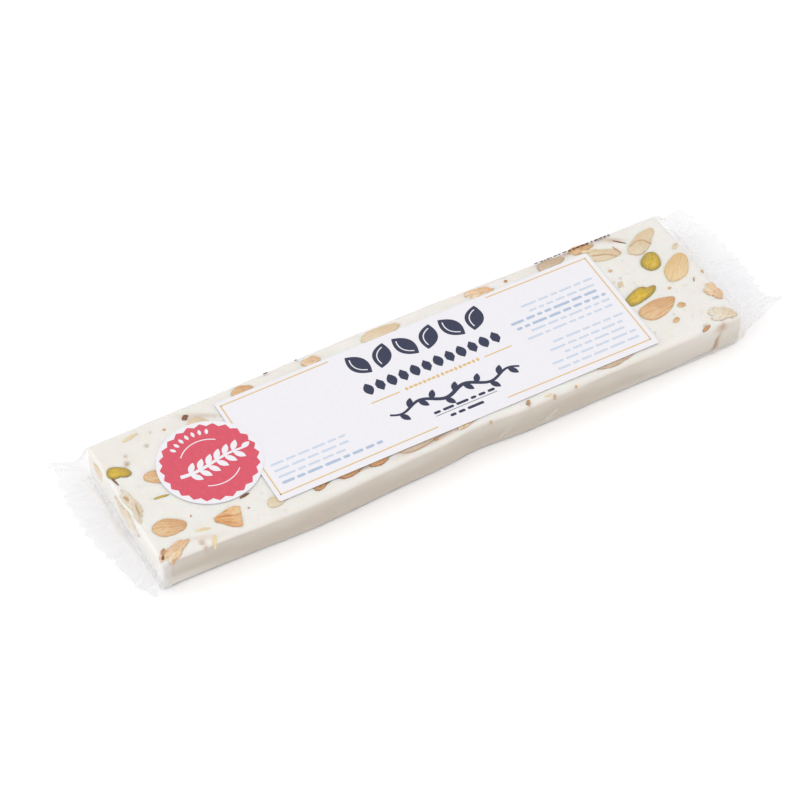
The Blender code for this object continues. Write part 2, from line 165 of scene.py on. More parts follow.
# Nuts in each face: its two coordinates of the centre, length, width, turn in degrees, look, tone
TOP_NUTS = (
    (-89.8, 11.0, 7.0, 4.6, -29, "bean", "pistachio"),
    (82.1, 7.6, 7.6, 5.8, 54, "domed", "pistachio"),
    (72.2, -2.4, 11.6, 4.8, 12, "folded", "pistachio"),
    (-80.0, 4.2, 9.6, 4.4, -30, "plain", "tan"),
    (-85.8, -13.0, 9.6, 6.0, -16, "plain", "tan"),
    (-69.8, -18.0, 9.4, 7.4, 160, "wedge", "striped"),
    (-88.4, -21.0, 11.0, 4.6, 22, "broken", "orange"),
    (-62.4, 16.0, 6.4, 5.4, -20, "plain", "pale"),
    (-56.3, -19.2, 5.4, 3.5, -5, "plain", "pale"),
    # These three nuts along the label's front edge are darker brown, partly skin and partly painted shade
    (-42.8, -19.2, 6.8, 4.6, 5, "broken", "brown"),
    (-33.8, -19.2, 7.6, 4.6, -4, "plain", "brown"),
    (-24.4, -19.3, 7.6, 4.8, 6, "plain", "brown"),
    # This nut and those at x 52.3 and 55.8 have painted shade in their colour, for the shade along the
    # label's edges
    (-11.4, -19.6, 15.0, 4.2, 2, "plain", "painted_shade"),
    (3.0, -19.2, 7.6, 4.6, 0, "broken", "orange"),
    (52.3, -20.0, 12.4, 4.6, -3, "plain", "painted_shade"),
    (-46.0, 21.2, 6.8, 4.0, 0, "plain", "tan"),
    (-23.7, 21.6, 6.2, 4.0, 4, "broken", "orange"),
    (-1.0, 21.6, 13.0, 4.4, 2, "plain", "pale"),
    (31.7, 21.2, 9.4, 4.4, -6, "broken", "orange"),
    (55.8, 21.0, 9.2, 4.0, 3, "plain", "painted_shade"),
    (66.6, 22.0, 8.6, 3.2, -3, "broken", "tan"),
    (84.2, 15.8, 12.4, 5.6, 30, "double", "pale"),
    (71.3, 16.6, 10.8, 4.6, -18, "plain", "pale"),
    (87.7, 2.0, 12.0, 6.6, 43, "domed", "whole"),
    (74.0, -9.2, 12.6, 6.4, 9, "plain", "tan"),
    (91.6, -11.6, 7.6, 4.4, -78, "broken", "orange"),
    (88.9, -20.2, 9.0, 5.2, -27, "broken", "mixed"),
)
UNDERSIDE_NUTS = (
    (-78.0, 10.0, 13.0, 6.6, 35, "plain", "tan"),
    (-64.0, -8.0, 8.0, 5.0, -50, "plain", "pistachio"),
    (-47.0, 8.0, 11.0, 6.4, -20, "plain", "pale"),
    (-26.0, -11.0, 12.0, 6.4, 12, "broken", "orange"),
    (-8.0, 9.0, 7.6, 4.8, 70, "bean", "pistachio"),
    (12.0, -5.0, 13.0, 7.0, -38, "plain", "tan"),
    (34.0, 10.0, 10.0, 6.0, 55, "plain", "striped"),
    (51.0, -9.0, 8.4, 5.2, 5, "plain", "pistachio"),
    (68.0, 6.0, 12.4, 6.8, -12, "plain", "pale"),
    (84.0, -10.0, 9.4, 6.0, 80, "plain", "tan"),
)
LEFT_NUTS = (
    (-0.8, 6.6, 15.6, 6.6, 0, "cluster", "mixed"),
    (17.4, 6.8, 5.8, 5.0, 0, "plain", "pale"),
)
RIGHT_NUTS = (
    (11.4, 4.6, 9.6, 4.6, 0, "plain", "tan"),
    (-19.5, 3.8, 8.0, 4.2, 0, "plain", "tan"),
)
# A look: dents in the outline (angle, width, depth), clip of the blunt end, dome, lump height and lump size
LOOKS = {
    "plain": ((), None, 0.0, 0.05, 1.6),
    "domed": ((), None, 0.42, 0.05, 2.2),
    "bean": (((-75, 26, 0.42),), None, 0.15, 0.08, 1.8),
    "folded": (((35, 20, 0.25),), None, 0.15, 0.12, 2.4),
    "wedge": (((60, 34, 0.24), (-60, 34, 0.24)), 0.62, 0.0, 0.08, 1.2),
    "broken": (((20, 16, 0.24), (100, 20, 0.2), (200, 16, 0.3), (290, 18, 0.16)), None, -0.1, 0.28, 1.1),
    "double": (((-62, 16, 0.2), (96, 18, 0.16)), None, 0.0, 0.08, 2.0),
    "cluster": (((70, 14, 0.2), (150, 16, 0.24), (250, 14, 0.22), (330, 16, 0.2)), None, 0.1, 0.35, 1.5),
}
TAPERS = {"almond": 0.30, "pistachio": 0.10}
LEAST_WIDTH = 0.3
NUT_SEGMENTS = 56
NUT_TOP_RINGS = 11
NUT_RING_EASE = 0.8
NUT_RIM_DROP = 0.12
# Rings of a nut's hidden side: share of its outline, depth
NUT_WALL = ((1.0, 0.35), (0.96, 0.9), (0.82, 1.6), (0.5, 2.2))
NUT_DEPTH = 2.4
NUT_SINK = 0.05
NUT_ROOM = 0.12
SOCKET_DEPTH = 0.7
GROOVE_DEPTH = 0.07

# Slivers and skins flush in the top face, for each tone: x, y, length, width, turn
FLAKES = {
    "pistachio": ((-83.2, -2.4, 4.6, 0.8, -8),),
    "skin": (
        (-64.7, 20.2, 2.4, 1.7, 35), (-63.1, -13.2, 3.2, 0.9, 8), (78.1, 18.6, 4.4, 0.5, -45),
        (-92.0, 8.6, 3.4, 0.6, -78), (-51.0, 19.4, 1.6, 0.6, 10), (-92.3, -21.7, 1.8, 0.8, 60),
    ),
    "mixed": ((-91.3, -0.6, 12.0, 3.4, -82), (-92.2, -6.0, 5.0, 1.6, -84)),
    "pale": ((91.6, 9.2, 3.0, 1.6, 35), (69.3, 3.8, 2.6, 1.8, 60), (81.6, 14.2, 7.2, 5.0, 24)),
    "cream": (
        (-78.4, -18.3, 4.2, 1.1, -14), (-77.4, -23.2, 3.8, 1.2, 62), (-81.4, 21.0, 5.0, 1.2, 10),
        (28.6, -22.6, 2.4, 0.7, -4), (68.2, 20.0, 5.0, 1.0, -14),
    ),
    "tan": (
        (80.3, -11.7, 2.7, 2.1, -10), (-71.8, 19.0, 1.0, 0.8, 0), (75.8, -16.0, 2.5, 1.7, 24),
        (80.9, -4.4, 1.2, 0.9, 0), (69.5, 9.9, 1.3, 1.0, 0), (93.0, -3.3, 1.2, 0.9, 60),
        (30.2, -23.6, 1.2, 0.8, 60), (9.7, -22.8, 0.8, 0.6, 0), (37.4, -23.4, 0.8, 0.6, 0),
        (-90.2, -24.0, 1.2, 0.7, 60),
    ),
    "line": (
        (81.3, 16.1, 3.4, 0.4, 18), (83.8, 16.2, 2.4, 0.4, -19), (85.3, 14.7, 2.7, 0.4, -65),
        (75.7, 16.4, 3.4, 0.4, -73), (69.9, 17.1, 4.4, 0.35, -19), (73.2, 15.3, 3.2, 0.35, -41),
        (-92.0, 1.6, 2.3, 1.0, -75), (-91.0, -3.5, 4.6, 0.5, 81),
    ),
    "brown": (
        (-91.3, -19.8, 2.2, 1.2, 50), (81.7, -22.9, 3.2, 1.0, 14), (22.3, -22.0, 1.6, 1.0, 40),
        (-79.2, -12.4, 0.7, 0.5, 30), (-64.1, -17.6, 0.6, 0.5, 0), (89.0, -4.9, 1.5, 0.4, 70),
        (-7.0, -21.3, 1.2, 0.8, 30), (40.6, 21.4, 1.2, 1.0, 0),
    ),
}
FLAKE_DEPTH_SHARE = 0.35
FLAKE_LIFT = 0.07
LINE_LIFT = 0.12
FLAKE_TAPER = 0.1
FLAKE_SEED = 60
BROKEN_WIDTH = 1.4

# Air holes in the top face: x, y, radius
AIR_HOLES = (
    (-80.6, -22.0, 0.9), (-80.4, -24.0, 0.7), (-86.2, 13.2, 0.8), (-85.4, 15.6, 0.6), (-78.6, 16.2, 0.7),
    (82.2, -22.2, 0.9), (22.2, -22.8, 0.9), (76.4, -13.6, 0.4), (68.0, -17.0, 0.4),
    (70.6, 6.1, 0.5), (67.9, 5.5, 0.4), (89.6, -4.2, 0.4), (-75.5, 20.0, 0.4), (-94.0, -2.0, 0.4),
)
SMALL_HOLES = 150
# Brown specks and smears in the top face, and a darker brown strip along the label's front edge: x, y, half
# length, half width, turn, strength
STAINS = (
    (-80.0, -20.6, 5.0, 0.8, -20, 0.25), (76.5, 20.4, 3.2, 0.9, -30, 0.6), (-60.5, 18.6, 6.0, 0.9, -28, 0.45),
    (-86.4, 12.6, 1.0, 0.7, 30, 0.5), (62.0, 22.0, 9.0, 1.0, -2, 0.45),
    (86.6, -24.0, 2.0, 0.7, 0, 0.6), (-7.4, -21.1, 10.0, 0.9, 3, 0.8), (-29.1, -20.7, 3.6, 0.5, 0, 0.9),
)

# Film
FILM_SIDE_STEPS = 10
FILM_TOP_STEPS = 104
FILM_STEP = 0.6
FIN_STATIONS = 22
FIN_GAP = 0.05
GUSSET_SHARE = 0.36
SIDE_GUSSET_SHARE = 0.95
SIDE_GUSSET_POWER = 8
RIDGE_HEIGHT = 0.2
RIDGES = 14
TOOTH_DEPTH = 1.4
FINE_RIDGE_HEIGHT = 0.1
CURL = 1.0
# Small folds in the gussets: height, how many across, change towards the edge, seed
FOLDS = ((0.55, 22, 1.3, 75), (0.3, 50, 2, 79))
# Layers of noise on the film's sides, as for the nougat
FILM_NOISE = ((0.12, 9, 91, 1, 1), (0.05, 3, 93, 1, 2))
# Cut edges have hardly any teeth in front of this place across, by end
SMOOTH_EDGE = {-1: -0.5, 1: -0.85}
# Creases in the film on the front side: start and end as x and z, rise, half width
FRONT_CREASES = (
    ((11.5, 2.8), (15.5, 5.8), 0.26, 0.5), ((25.5, 2.4), (31.5, 6.6), 0.26, 0.5),
    ((-40.5, 3.0), (-36.0, 7.0), 0.15, 0.5), ((-62.0, 2.2), (-48.0, 3.4), 0.08, 0.7),
    ((-20.0, 3.0), (-2.0, 2.2), 0.08, 0.7), ((48.0, 3.0), (70.0, 2.4), 0.1, 0.8),
)
# How far the film rises over a domed nut, and how far out from it as a share of the nut's reach
DOME_RISE = 0.42
DOME_REACH = 1.35
# Flare of the film low along the front: where it starts, the length over which it opens, its top and rise
FLARE_START = 52.0
FLARE_RUN = 24.0
FLARE_TOP = 3.2
FLARE_RISE = 0.6
# Painted light: where the flare's film is whitened over the shade under it, its start, the length over which
# it grows, and its top
FLARE_PAINTED_LIGHT_START = 56.0
FLARE_PAINTED_LIGHT_RUN = 20.0
FLARE_PAINTED_LIGHT_TOP = 3.0
# The hazy left front corner starts at this x and y
HAZY_CORNER = (-90.0, -22.5)
SEAM_Y = -4.0
SEAM_WIDTH = 9.0
SEAM_Z = 0.08
# Fins: place across, from -1 in front to 1 at the back, reach past the bar, y and height of the edge
LEFT_FIN = (
    (-1.00, 3.6, -26.3, 1.6),
    (-0.75, 7.0, -20.5, 2.6),
    (-0.40, 9.6, -11.5, 5.0),
    (0.00, 12.4, 0.0, 7.0),
    (0.50, 11.8, 13.6, 7.4),
    (0.85, 10.6, 22.6, 7.6),
    (1.00, 11.8, 25.8, 8.0),
)
RIGHT_FIN = (
    (-1.00, 14.0, -24.4, 11.4),
    (-0.75, 12.4, -19.6, 7.0),
    (-0.40, 13.2, -10.8, 6.6),
    (0.00, 13.2, 0.0, 7.2),
    (0.50, 12.2, 12.2, 7.4),
    (0.85, 10.8, 20.6, 7.4),
    (1.00, 9.2, 24.2, 7.8),
)

# Paper
PAPER_THICKNESS = 0.1
PAPER_LIFT = 0.02
LABEL_CENTRE = (5.6, -0.4)
LABEL_SIZE = (122.5, 40.5)
LABEL_TURN = -0.5
LABEL_CORNER = 0.8
STICKER_CENTRE = (-66.1, 2.0)
STICKER_RADIUS = 15.0
STICKER_RAMP = 1.4
INK_THICKNESS = 0.03
FRAME_WIDTH = 0.36
# Gold lines on the label, from its middle: start, end and number of points
FRAME_LINES = (
    ((-60.0, 18.6), (-25.6, 18.9), 12), ((26.2, 18.9), (59.7, 18.6), 12),
    ((-60.0, -18.1), (-10.0, -17.6), 12), ((12.5, -17.5), (59.7, -18.0), 12),
    ((-60.0, 18.78), (-59.8, -18.28), 12), ((59.7, 18.78), (59.7, -18.18), 12),
    ((-22.3, -1.0), (-13.2, -1.0), 6), ((14.4, -1.0), (23.4, -1.0), 6),
)
# Rows of shapes along the label: first and last x, how many, and y
LOZENGE_ROW = (-10.9, 12.3, 17, -0.9)
EMBLEM_ROW = (-18.6, 19.4, 6, 13.6)
LEAF_ROW = (-20.4, 20.9, 12, 4.1)
# Wavy stems of the label's vine and the sticker's sprig: middle, half length, slope, swing and waves
VINE = (0.8, -8.1, 20.6, -1.0, 1.25, 9.2)
SPRIG = (0.6, -0.6, 10.2, 0.0, 0.9, 2.4)
# Bars that stand for words: shortest and longest, room that a bar needs and the gap after it
WORD_LENGTH = (1.6, 5.4)
WORD_GAP = (1.4, 0.8)
# Small print on the label: start, end and base of each line, and whether it is bold
SMALL_PRINT = (
    (-57.6, -34.0, -8.0, False), (-57.6, -34.4, -10.4, False), (-57.6, -35.9, -12.8, False),
    (-57.6, -24.8, -15.2, True), (33.4, 57.4, 10.4, False), (34.7, 57.4, 7.9, False), (27.3, 57.5, 5.5, True),
    (27.9, 57.7, 3.1, True), (31.3, 57.7, 0.9, False), (28.8, 57.2, -1.5, False), (34.6, 58.0, -5.8, False),
    (32.1, 58.0, -8.3, False), (35.6, 57.6, -10.7, False), (30.1, 57.9, -13.1, False),
    (30.6, 57.5, -15.6, False),
)
SEAL_TEETH = 24
TOOTH_STEPS = 8
SEAL_RADIUS = 13.6
TOOTH_RISE = 1.0
MARK_WIDTH = 0.68
MARK_LIFT = 0.2
# Dark dashes printed along the film's back edge: start and end x, start and end y
EDGE_MARKS = (
    (51.5, 77.2, 23.2, 22.5), (-38.0, -37.0, 23.8, 23.8), (-27.8, -26.8, 24.0, 24.0),
)

Nut = namedtuple("Nut", "name side centre size turn look tone seed taper")


def srgb(*screen):
    """Linear colour from screen values of 0 to 255."""
    return tuple(c / 255 / 12.92 if c <= 10 else ((c / 255 + 0.055) / 1.055) ** 2.4 for c in screen)


def smooth(share):
    """An even ramp with soft ends, 0 below 0 and 1 above 1."""
    share = np.clip(share, 0.0, 1.0)
    return share * share * (3 - 2 * share)


def turned(x, y, turn):
    """Places turned anticlockwise about the origin by an angle in radians."""
    cosine, sine = math.cos(turn), math.sin(turn)
    return x * cosine - y * sine, x * sine + y * cosine


def columns(*values):
    """Numbers and arrays side by side, as the columns of points."""
    return np.stack(np.broadcast_arrays(*values), axis=-1)


def lattice(column, row, seed):
    """Repeatable values from -1 to 1 at whole-number places."""
    mixed = (column.astype(np.int64) * 73856093) ^ (row.astype(np.int64) * 19349663) ^ (seed * 83492791)
    mixed = ((mixed ^ (mixed >> 13)) * 1274126177) & 0x7FFFFFFF
    mixed = ((mixed ^ (mixed >> 16)) * 668265263) & 0x7FFFFFFF
    return mixed / 0x3FFFFFFF - 1.0


def noise(x, y, size, seed):
    """Smooth noise from -1 to 1, with lumps about as wide as size."""
    x = np.asarray(x, float) / size
    y = np.asarray(y, float) / size
    column, row = np.floor(x), np.floor(y)
    across, up = smooth(x - column), smooth(y - row)
    low = lattice(column, row, seed) * (1 - across) + lattice(column + 1, row, seed) * across
    high = lattice(column, row + 1, seed) * (1 - across) + lattice(column + 1, row + 1, seed) * across
    return low * (1 - up) + high * up


def layers(rows, x, y):
    """Noise of several strengths and sizes, one over the other."""
    return sum(strength * noise(x * scale_x, y * scale_y, size, seed)
               for strength, size, seed, scale_x, scale_y in rows)


def new_object(name, data):
    item = bpy.data.objects.new(name, data)
    bpy.context.scene.collection.objects.link(item)
    return item


def make_object(name, points, faces, material, node=None, plan=None):
    """A piece from points in the bar's frame; it rides on the body and may stand for a node."""
    mesh = bpy.data.meshes.new(name)
    mesh.from_pydata(((np.asarray(points, float) + BAR_OFFSET) * MM).tolist(), [], faces)
    if plan is not None:
        mesh.attributes.new("plan", "FLOAT_VECTOR", "POINT").data.foreach_set("vector", np.ravel(plan))
    bm = bmesh.new()
    bm.from_mesh(mesh)
    bmesh.ops.remove_doubles(bm, verts=bm.verts, dist=WELD)
    bmesh.ops.dissolve_degenerate(bm, dist=WELD, edges=bm.edges)
    bmesh.ops.recalc_face_normals(bm, faces=bm.faces)
    bm.to_mesh(mesh)
    bm.free()
    mesh.shade_smooth()
    mesh.set_sharp_from_angle(angle=math.radians(SHARP_ANGLE))
    mesh.materials.append(material)
    item = new_object(name, mesh)
    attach(item, "root")
    if node:
        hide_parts(node)


def grid_faces(grid, wrap=True):
    """Quads of points laid out in rows; wrap joins the last column to the first."""
    rows, count = grid.shape[:2]
    faces = []
    for start in range(0, (rows - 1) * count, count):
        for column in range(count if wrap else count - 1):
            here, after = start + column, start + (column + 1) % count
            faces.append((here, after, after + count, here + count))
    return faces


def make_grid(name, grid, material, node=None, slot=None, plan=None, wrap=True):
    """A piece from points laid out in rows."""
    make_object(name, grid.reshape(-1, 3), grid_faces(grid, wrap), material, node, plan)


def wave_sum(waves, x):
    return sum(height * np.exp(-((x - place) / spread) ** 2) for height, place, spread in waves)


def side_limits(x):
    """The pack's front and back y at a place along the bar, over the film."""
    return FRONT_Y - wave_sum(FRONT_WAVES, x), BACK_Y + wave_sum(BACK_WAVES, x)


def edge_radius(x):
    """Radius of the long edges over the film; they are sharper at the bar's left end."""
    return EDGE_RADIUS[0] + (EDGE_RADIUS[1] - EDGE_RADIUS[0]) * smooth((x - EDGE_CHANGE[0]) / EDGE_CHANGE[1])


def half_section(x, radius, inset, side_steps, top_steps):
    """Halves of the bar's sections at each x, from front mid-side over to back mid-side, as y and z."""
    front, back = side_limits(x)
    front, back = front + inset, back - inset
    top = PACK_HEIGHT - inset
    radius = radius - inset
    rise = PACK_HEIGHT / 2 + np.arange(side_steps) / side_steps * (top - radius - PACK_HEIGHT / 2)
    turn = np.linspace(0, math.pi / 2, ARC_STEPS + 1)
    share = np.arange(1, top_steps) / top_steps
    ones = np.ones_like(x)
    corner = front + radius * (1 - np.cos(turn))
    y = [front + 0 * rise, corner, front + radius + (back - front - 2 * radius) * share]
    y += [back - radius * (1 - np.cos(turn[::-1])), back + 0 * rise]
    arc = top - radius * (1 - np.sin(turn))
    z = np.concatenate([rise, arc, top + 0 * share * ones, arc[:, ::-1], rise[:, ::-1]], axis=1)
    return np.concatenate(y, axis=1), z


def upper_half(x, inset, side_steps, top_steps):
    x = np.asarray(x, float)[:, None]
    return half_section(x, edge_radius(x), inset, side_steps, top_steps)


def lower_half(x, inset, side_steps, top_steps):
    x = np.asarray(x, float)[:, None]
    y, z = half_section(x, LOWER_RADIUS + 0 * x, inset, side_steps, top_steps)
    return y, PACK_HEIGHT - z


def skin_height(x, y):
    """Height of the wrapped bar's upper face, also over its rounded long edges."""
    front, back = side_limits(x)
    radius = edge_radius(x)
    over = np.clip(np.maximum(front + radius - y, y - back + radius), 0.0, radius)
    return PACK_HEIGHT - radius + np.sqrt(radius ** 2 - over ** 2)


def outline_share(look, angle, seed):
    """How far a nut's cut reaches at an angle, as a share of its plain outline."""
    dents, clip = LOOKS[look][:2]
    share = 1 + 0.03 * np.sin(3 * angle + seed) + 0.02 * np.sin(5 * angle + 2.3 * seed)
    for centre, width, depth in dents:
        apart = np.angle(np.exp(1j * (angle - math.radians(centre))))
        share = share - depth * np.exp(-(apart / math.radians(width)) ** 2)
    if clip:
        share = np.minimum(share, clip / np.maximum(-np.cos(angle), 0.05))
    return share


def kind_of(tone):
    return "pistachio" if tone == "pistachio" else "almond"


def nut_list():
    """Each nut with all that its piece and its socket need, named as its solid is."""
    counts = {"almond": 0, "pistachio": 0}
    nuts = []
    tables = {"top": TOP_NUTS, "under": UNDERSIDE_NUTS, "left": LEFT_NUTS, "right": RIGHT_NUTS}
    for side, rows in tables.items():
        for x, y, length, width, turn, look, tone in rows:
            kind = kind_of(tone)
            counts[kind] += 1
            nuts.append(Nut(f"{kind}_{counts[kind]:02d}", side, (x, y), (length, width), math.radians(turn),
                            look, tone, len(nuts) + 1, TAPERS[kind]))
    return nuts


def width_left(nut, share):
    """How much of a nut's width its taper leaves at a share of its half length."""
    return np.maximum(LEAST_WIDTH, 1 - nut.taper * share)


def nut_shares(nut, across, other):
    """Places in a nut's plane as shares of its half length and half width."""
    x, y = turned(across - nut.centre[0], other - nut.centre[1], -nut.turn)
    share = x / (nut.size[0] / 2)
    return share, y / (nut.size[1] / 2 * width_left(nut, share))


def socket_depth(nut, across, other):
    """How deep the nougat lies under a nut, and in the groove round it, at places in the nut's plane."""
    share_x, share_y = nut_shares(nut, across, other)
    edge = outline_share(nut.look, np.arctan2(share_y, share_x), nut.seed)
    apart = (np.hypot(share_x, share_y) / edge - 1) * min(nut.size) / 2
    groove = GROOVE_DEPTH * np.exp(-((apart - 0.2) / 0.4) ** 2)
    return SOCKET_DEPTH * smooth((0.15 - apart) / 0.5) + groove


def crack_distance(x, z):
    """How far a place on the front side is from the crack near the bar's right end."""
    return abs(x - CRACK_FOOT - (z - 1.5) * CRACK_LEAN + 0.5 * noise(z, x, 2.5, 61))


def nougat_relief(points, normals, nuts):
    """Height of the nougat's small forms over its smooth body."""
    x, y, z = np.moveaxis(points, -1, 0)
    along, out, up = np.moveaxis(normals, -1, 0)
    top, under = np.clip(up, 0, 1), np.clip(-up, 0, 1)
    height = (layers(TOP_NOISE, x, y) - TOP_SINK) * up ** 2
    groove = np.exp(-((z - SIDE_GROOVE_Z) / SIDE_GROOVE_WIDTH) ** 2) * smooth(0.6 + noise(x, z, 9, 39))
    side = layers(SIDE_NOISE, x, z) - SIDE_GROOVE_DEPTH * groove
    height += (side - SIDE_SINK) * out ** 2 + layers(END_NOISE, y, z) * along ** 2
    edge = np.clip(1 - abs(abs(up) - 0.6) / 0.4, 0, 1)
    height += edge * (layers(EDGE_NOISE, x, x) - EDGE_SINK)
    rng = np.random.default_rng(7)
    holes = list(AIR_HOLES)
    for _ in range(SMALL_HOLES):
        hole_x = rng.choice((rng.uniform(-93, -52), rng.uniform(66, 93), rng.uniform(-93, 93)))
        holes.append((hole_x, rng.uniform(-23.5, 23.5), rng.uniform(0.25, 0.5)))
    for hole_x, hole_y, radius in holes:
        apart = np.hypot(x - hole_x, y - hole_y) / radius
        height -= top * radius * 0.8 * np.sqrt(np.clip(1.15 - apart ** 2, 0, 1))
        apart = np.hypot(x + hole_x, y - hole_y) / radius
        height -= under * radius * 0.7 * np.sqrt(np.clip(1 - apart ** 2, 0, 1))
    planes = {"top": (x, y, top), "under": (x, y, under), "left": (y, z, np.clip(-along, 0, 1)),
              "right": (y, z, np.clip(along, 0, 1))}
    for nut in nuts:
        across, other, facing = planes[nut.side]
        height -= facing * socket_depth(nut, across, other)
    crack = np.exp(-(crack_distance(x, z) / CRACK_WIDTH) ** 2) * smooth((x - CRACK_START) / 3)
    return height - CRACK_DEPTH * np.clip(-out, 0, 1) * crack


def loop_at(x, inset, top_steps):
    """The bar's closed section at a place along it, with its outward directions."""
    halves = [shape([x], inset, SIDE_STEPS, top_steps) for shape in (upper_half, lower_half)]
    y, z = [np.concatenate([upper[0], lower[0][::-1][1:-1]]) for upper, lower in zip(*halves)]
    across, rise = [np.roll(part, -1) - np.roll(part, 1) for part in (y, z)]
    size = np.hypot(across, rise)
    return y, z, -rise / size, across / size


def nougat_rings():
    """Where the nougat's rings go: x, how far in from the full section, how much of it is kept, lean."""
    half = PACK_LENGTH / 2 - NOUGAT_INSET
    turns = np.linspace(0, math.pi / 2, END_ROUND_STEPS + 1)
    cap = [(half, END_ROUND, ring / CAP_RINGS, 1.0) for ring in range(CAP_RINGS)]
    cap += [(half - END_ROUND * (1 - math.cos(turn)), END_ROUND * (1 - math.sin(turn)), 1.0, math.cos(turn))
            for turn in turns]
    left = np.arange(-half + END_ROUND + END_STEP, FINE_LEFT, END_STEP)
    middle = np.arange(FINE_LEFT, FINE_RIGHT, MIDDLE_STEP)
    right = np.arange(FINE_RIGHT, half - END_ROUND - END_STEP / 2, END_STEP)
    body = [(x, 0.0, 1.0, 0.0) for x in np.concatenate([left, middle, right])]
    return [(-x, inward, keep, -lean) for x, inward, keep, lean in cap] + body + cap[::-1]


def nougat_plan(points, normals):
    """Where the nougat is brown from stains and from painted shade in its air holes, and where painted shade
    darkens its long sides.
    """
    x, y, z = np.moveaxis(points, -1, 0)
    near_top = smooth((z - 7) / 2)
    crack = crack_distance(x, z) / (0.4 + 0.09 * np.clip(7 - z, 0, 7))
    stain_and_shade = np.exp(-crack ** 2) * smooth((x - CRACK_START) / 3) * smooth((-y - 20) / 3)
    stain_and_shade *= 0.2 + 0.7 * smooth((7.5 - z) / 2.5)
    for centre_x, centre_y, length, width, turn, strength in STAINS:
        along, across = turned(x - centre_x, y - centre_y, -math.radians(turn))
        stain_and_shade += strength * np.exp(-(along / length) ** 2 - (across / width) ** 2) * near_top
    # Painted shade inside the air holes, darkest at their middles
    for hole_x, hole_y, radius in AIR_HOLES:
        apart = np.hypot(x - hole_x, y - hole_y) / radius
        stain_and_shade += 0.6 * np.exp(-1.6 * apart ** 2) * near_top
    # Painted shade on the long sides, by how far their faces turn from up, stronger lower down
    side = smooth((0.88 - abs(normals[..., 2])) / 0.5) * smooth((abs(normals[..., 1]) - 0.1) / 0.5)
    side *= 0.75 + 0.35 * smooth((10 - z) / 8) + 0.1 * noise(x, z * 2, 7, 45)
    # Less painted shade towards the right end, and low down at the left end
    side *= 1 - 0.45 * smooth((x - 45) / 38)
    side *= 1 - 0.6 * smooth((-64 - x) / 25) * smooth((5.5 - z) / 3)
    return columns(np.clip(stain_and_shade, 0, 1), np.clip(side, 0, 1), 0.0)


def build_nougat(nuts, material):
    top_steps = int((BACK_Y - FRONT_Y) / TOP_STEP)
    middle = PACK_HEIGHT / 2
    half_height = middle - NOUGAT_INSET
    rings, normals = [], []
    for x, inward, keep, lean in nougat_rings():
        y, z, out_y, out_z = loop_at(x, NOUGAT_INSET, top_steps)
        y, z = y - inward * out_y, z - inward * out_z
        spine = np.clip(y, y.min() + half_height, y.max() - half_height)
        y, z = spine + (y - spine) * keep, middle + (z - middle) * keep
        flat = math.sqrt(1 - lean * lean)
        rings.append(columns(x, y, z))
        normals.append(columns(lean, out_y * flat, out_z * flat))
    rings, normals = np.array(rings), np.array(normals)
    plan = nougat_plan(rings, normals)
    rings += normals * nougat_relief(rings, normals, nuts)[..., None]
    make_grid("nougat_bar", rings, material, "nougat", "nougat", plan)


def nut_surface(nut):
    """A nut's points in its own plane, with Z out of the cut face, and its plan for the material."""
    dome, lump, lump_size = LOOKS[nut.look][2:]
    angle = np.linspace(0, 2 * math.pi, NUT_SEGMENTS, endpoint=False)
    edge = outline_share(nut.look, angle, nut.seed)
    rows, plans = [], []

    def add_row(keep, height, rim):
        share_x, share_y = keep * edge * np.cos(angle), keep * edge * np.sin(angle)
        x = nut.size[0] / 2 * share_x
        y = nut.size[1] / 2 * width_left(nut, share_x) * share_y
        z = height + (lump * noise(x + 7 * nut.seed, y, lump_size, nut.seed) if rim <= 1 else 0.0)
        rows.append(columns(x, y, np.minimum(z, dome + NUT_ROOM)))
        plans.append(columns(share_x, share_y, rim))

    for share in np.linspace(0, 1, NUT_TOP_RINGS) ** NUT_RING_EASE:
        add_row(share, dome * (1 - share ** 2) - NUT_RIM_DROP * float(smooth((share - 0.9) / 0.1)), share)
    for keep, depth in (*NUT_WALL, (0.0, NUT_DEPTH)):
        add_row(keep, -depth, 1 + depth)
    return np.array(rows), np.array(plans)


def place_nut(nut, points):
    """Turn a nut's points into the face that it is cut at."""
    across, other = turned(points[..., 0], points[..., 1], nut.turn)
    across, other = across + nut.centre[0], other + nut.centre[1]
    out = points[..., 2] - NUT_SINK
    if nut.side == "top":
        return columns(across, other, PACK_HEIGHT - NOUGAT_INSET + out)
    if nut.side == "under":
        return columns(across, other, NOUGAT_INSET - out)
    end = PACK_LENGTH / 2 - NOUGAT_INSET + out
    return columns(end if nut.side == "right" else -end, across, other)


def build_nuts(nuts, materials):
    for nut in nuts:
        points, plan = nut_surface(nut)
        make_grid(nut.name + "_cut", place_nut(nut, points), materials[nut.tone], nut.name,
                  kind_of(nut.tone), plan)


def build_flakes(materials):
    """Slivers and skins of nut that lie flush in the nougat, one piece for each tone."""
    for tone, rows in FLAKES.items():
        places, plans, faces = [], [], []
        for index, (x, y, length, width, turn) in enumerate(rows):
            look = "broken" if width > BROKEN_WIDTH and tone != "tan" else "plain"
            flake = Nut("flake", "top", (x, y), (length, width), math.radians(turn), look, tone,
                        FLAKE_SEED + index, FLAKE_TAPER)
            points, plan = nut_surface(flake)
            points[..., 2] *= FLAKE_DEPTH_SHARE
            place = place_nut(flake, points).reshape(-1, 3)
            place[:, 2] += skin_height(place[:, 0], place[:, 1]) - PACK_HEIGHT
            place[:, 2] += LINE_LIFT if tone == "line" else FLAKE_LIFT
            start = index * len(place)
            faces += [tuple(start + corner for corner in face) for face in grid_faces(points)]
            places.append(place)
            plans.append(plan.reshape(-1, 3))
        make_object(f"flakes_{tone}", np.concatenate(places), faces, materials[tone],
                    plan=np.concatenate(plans))


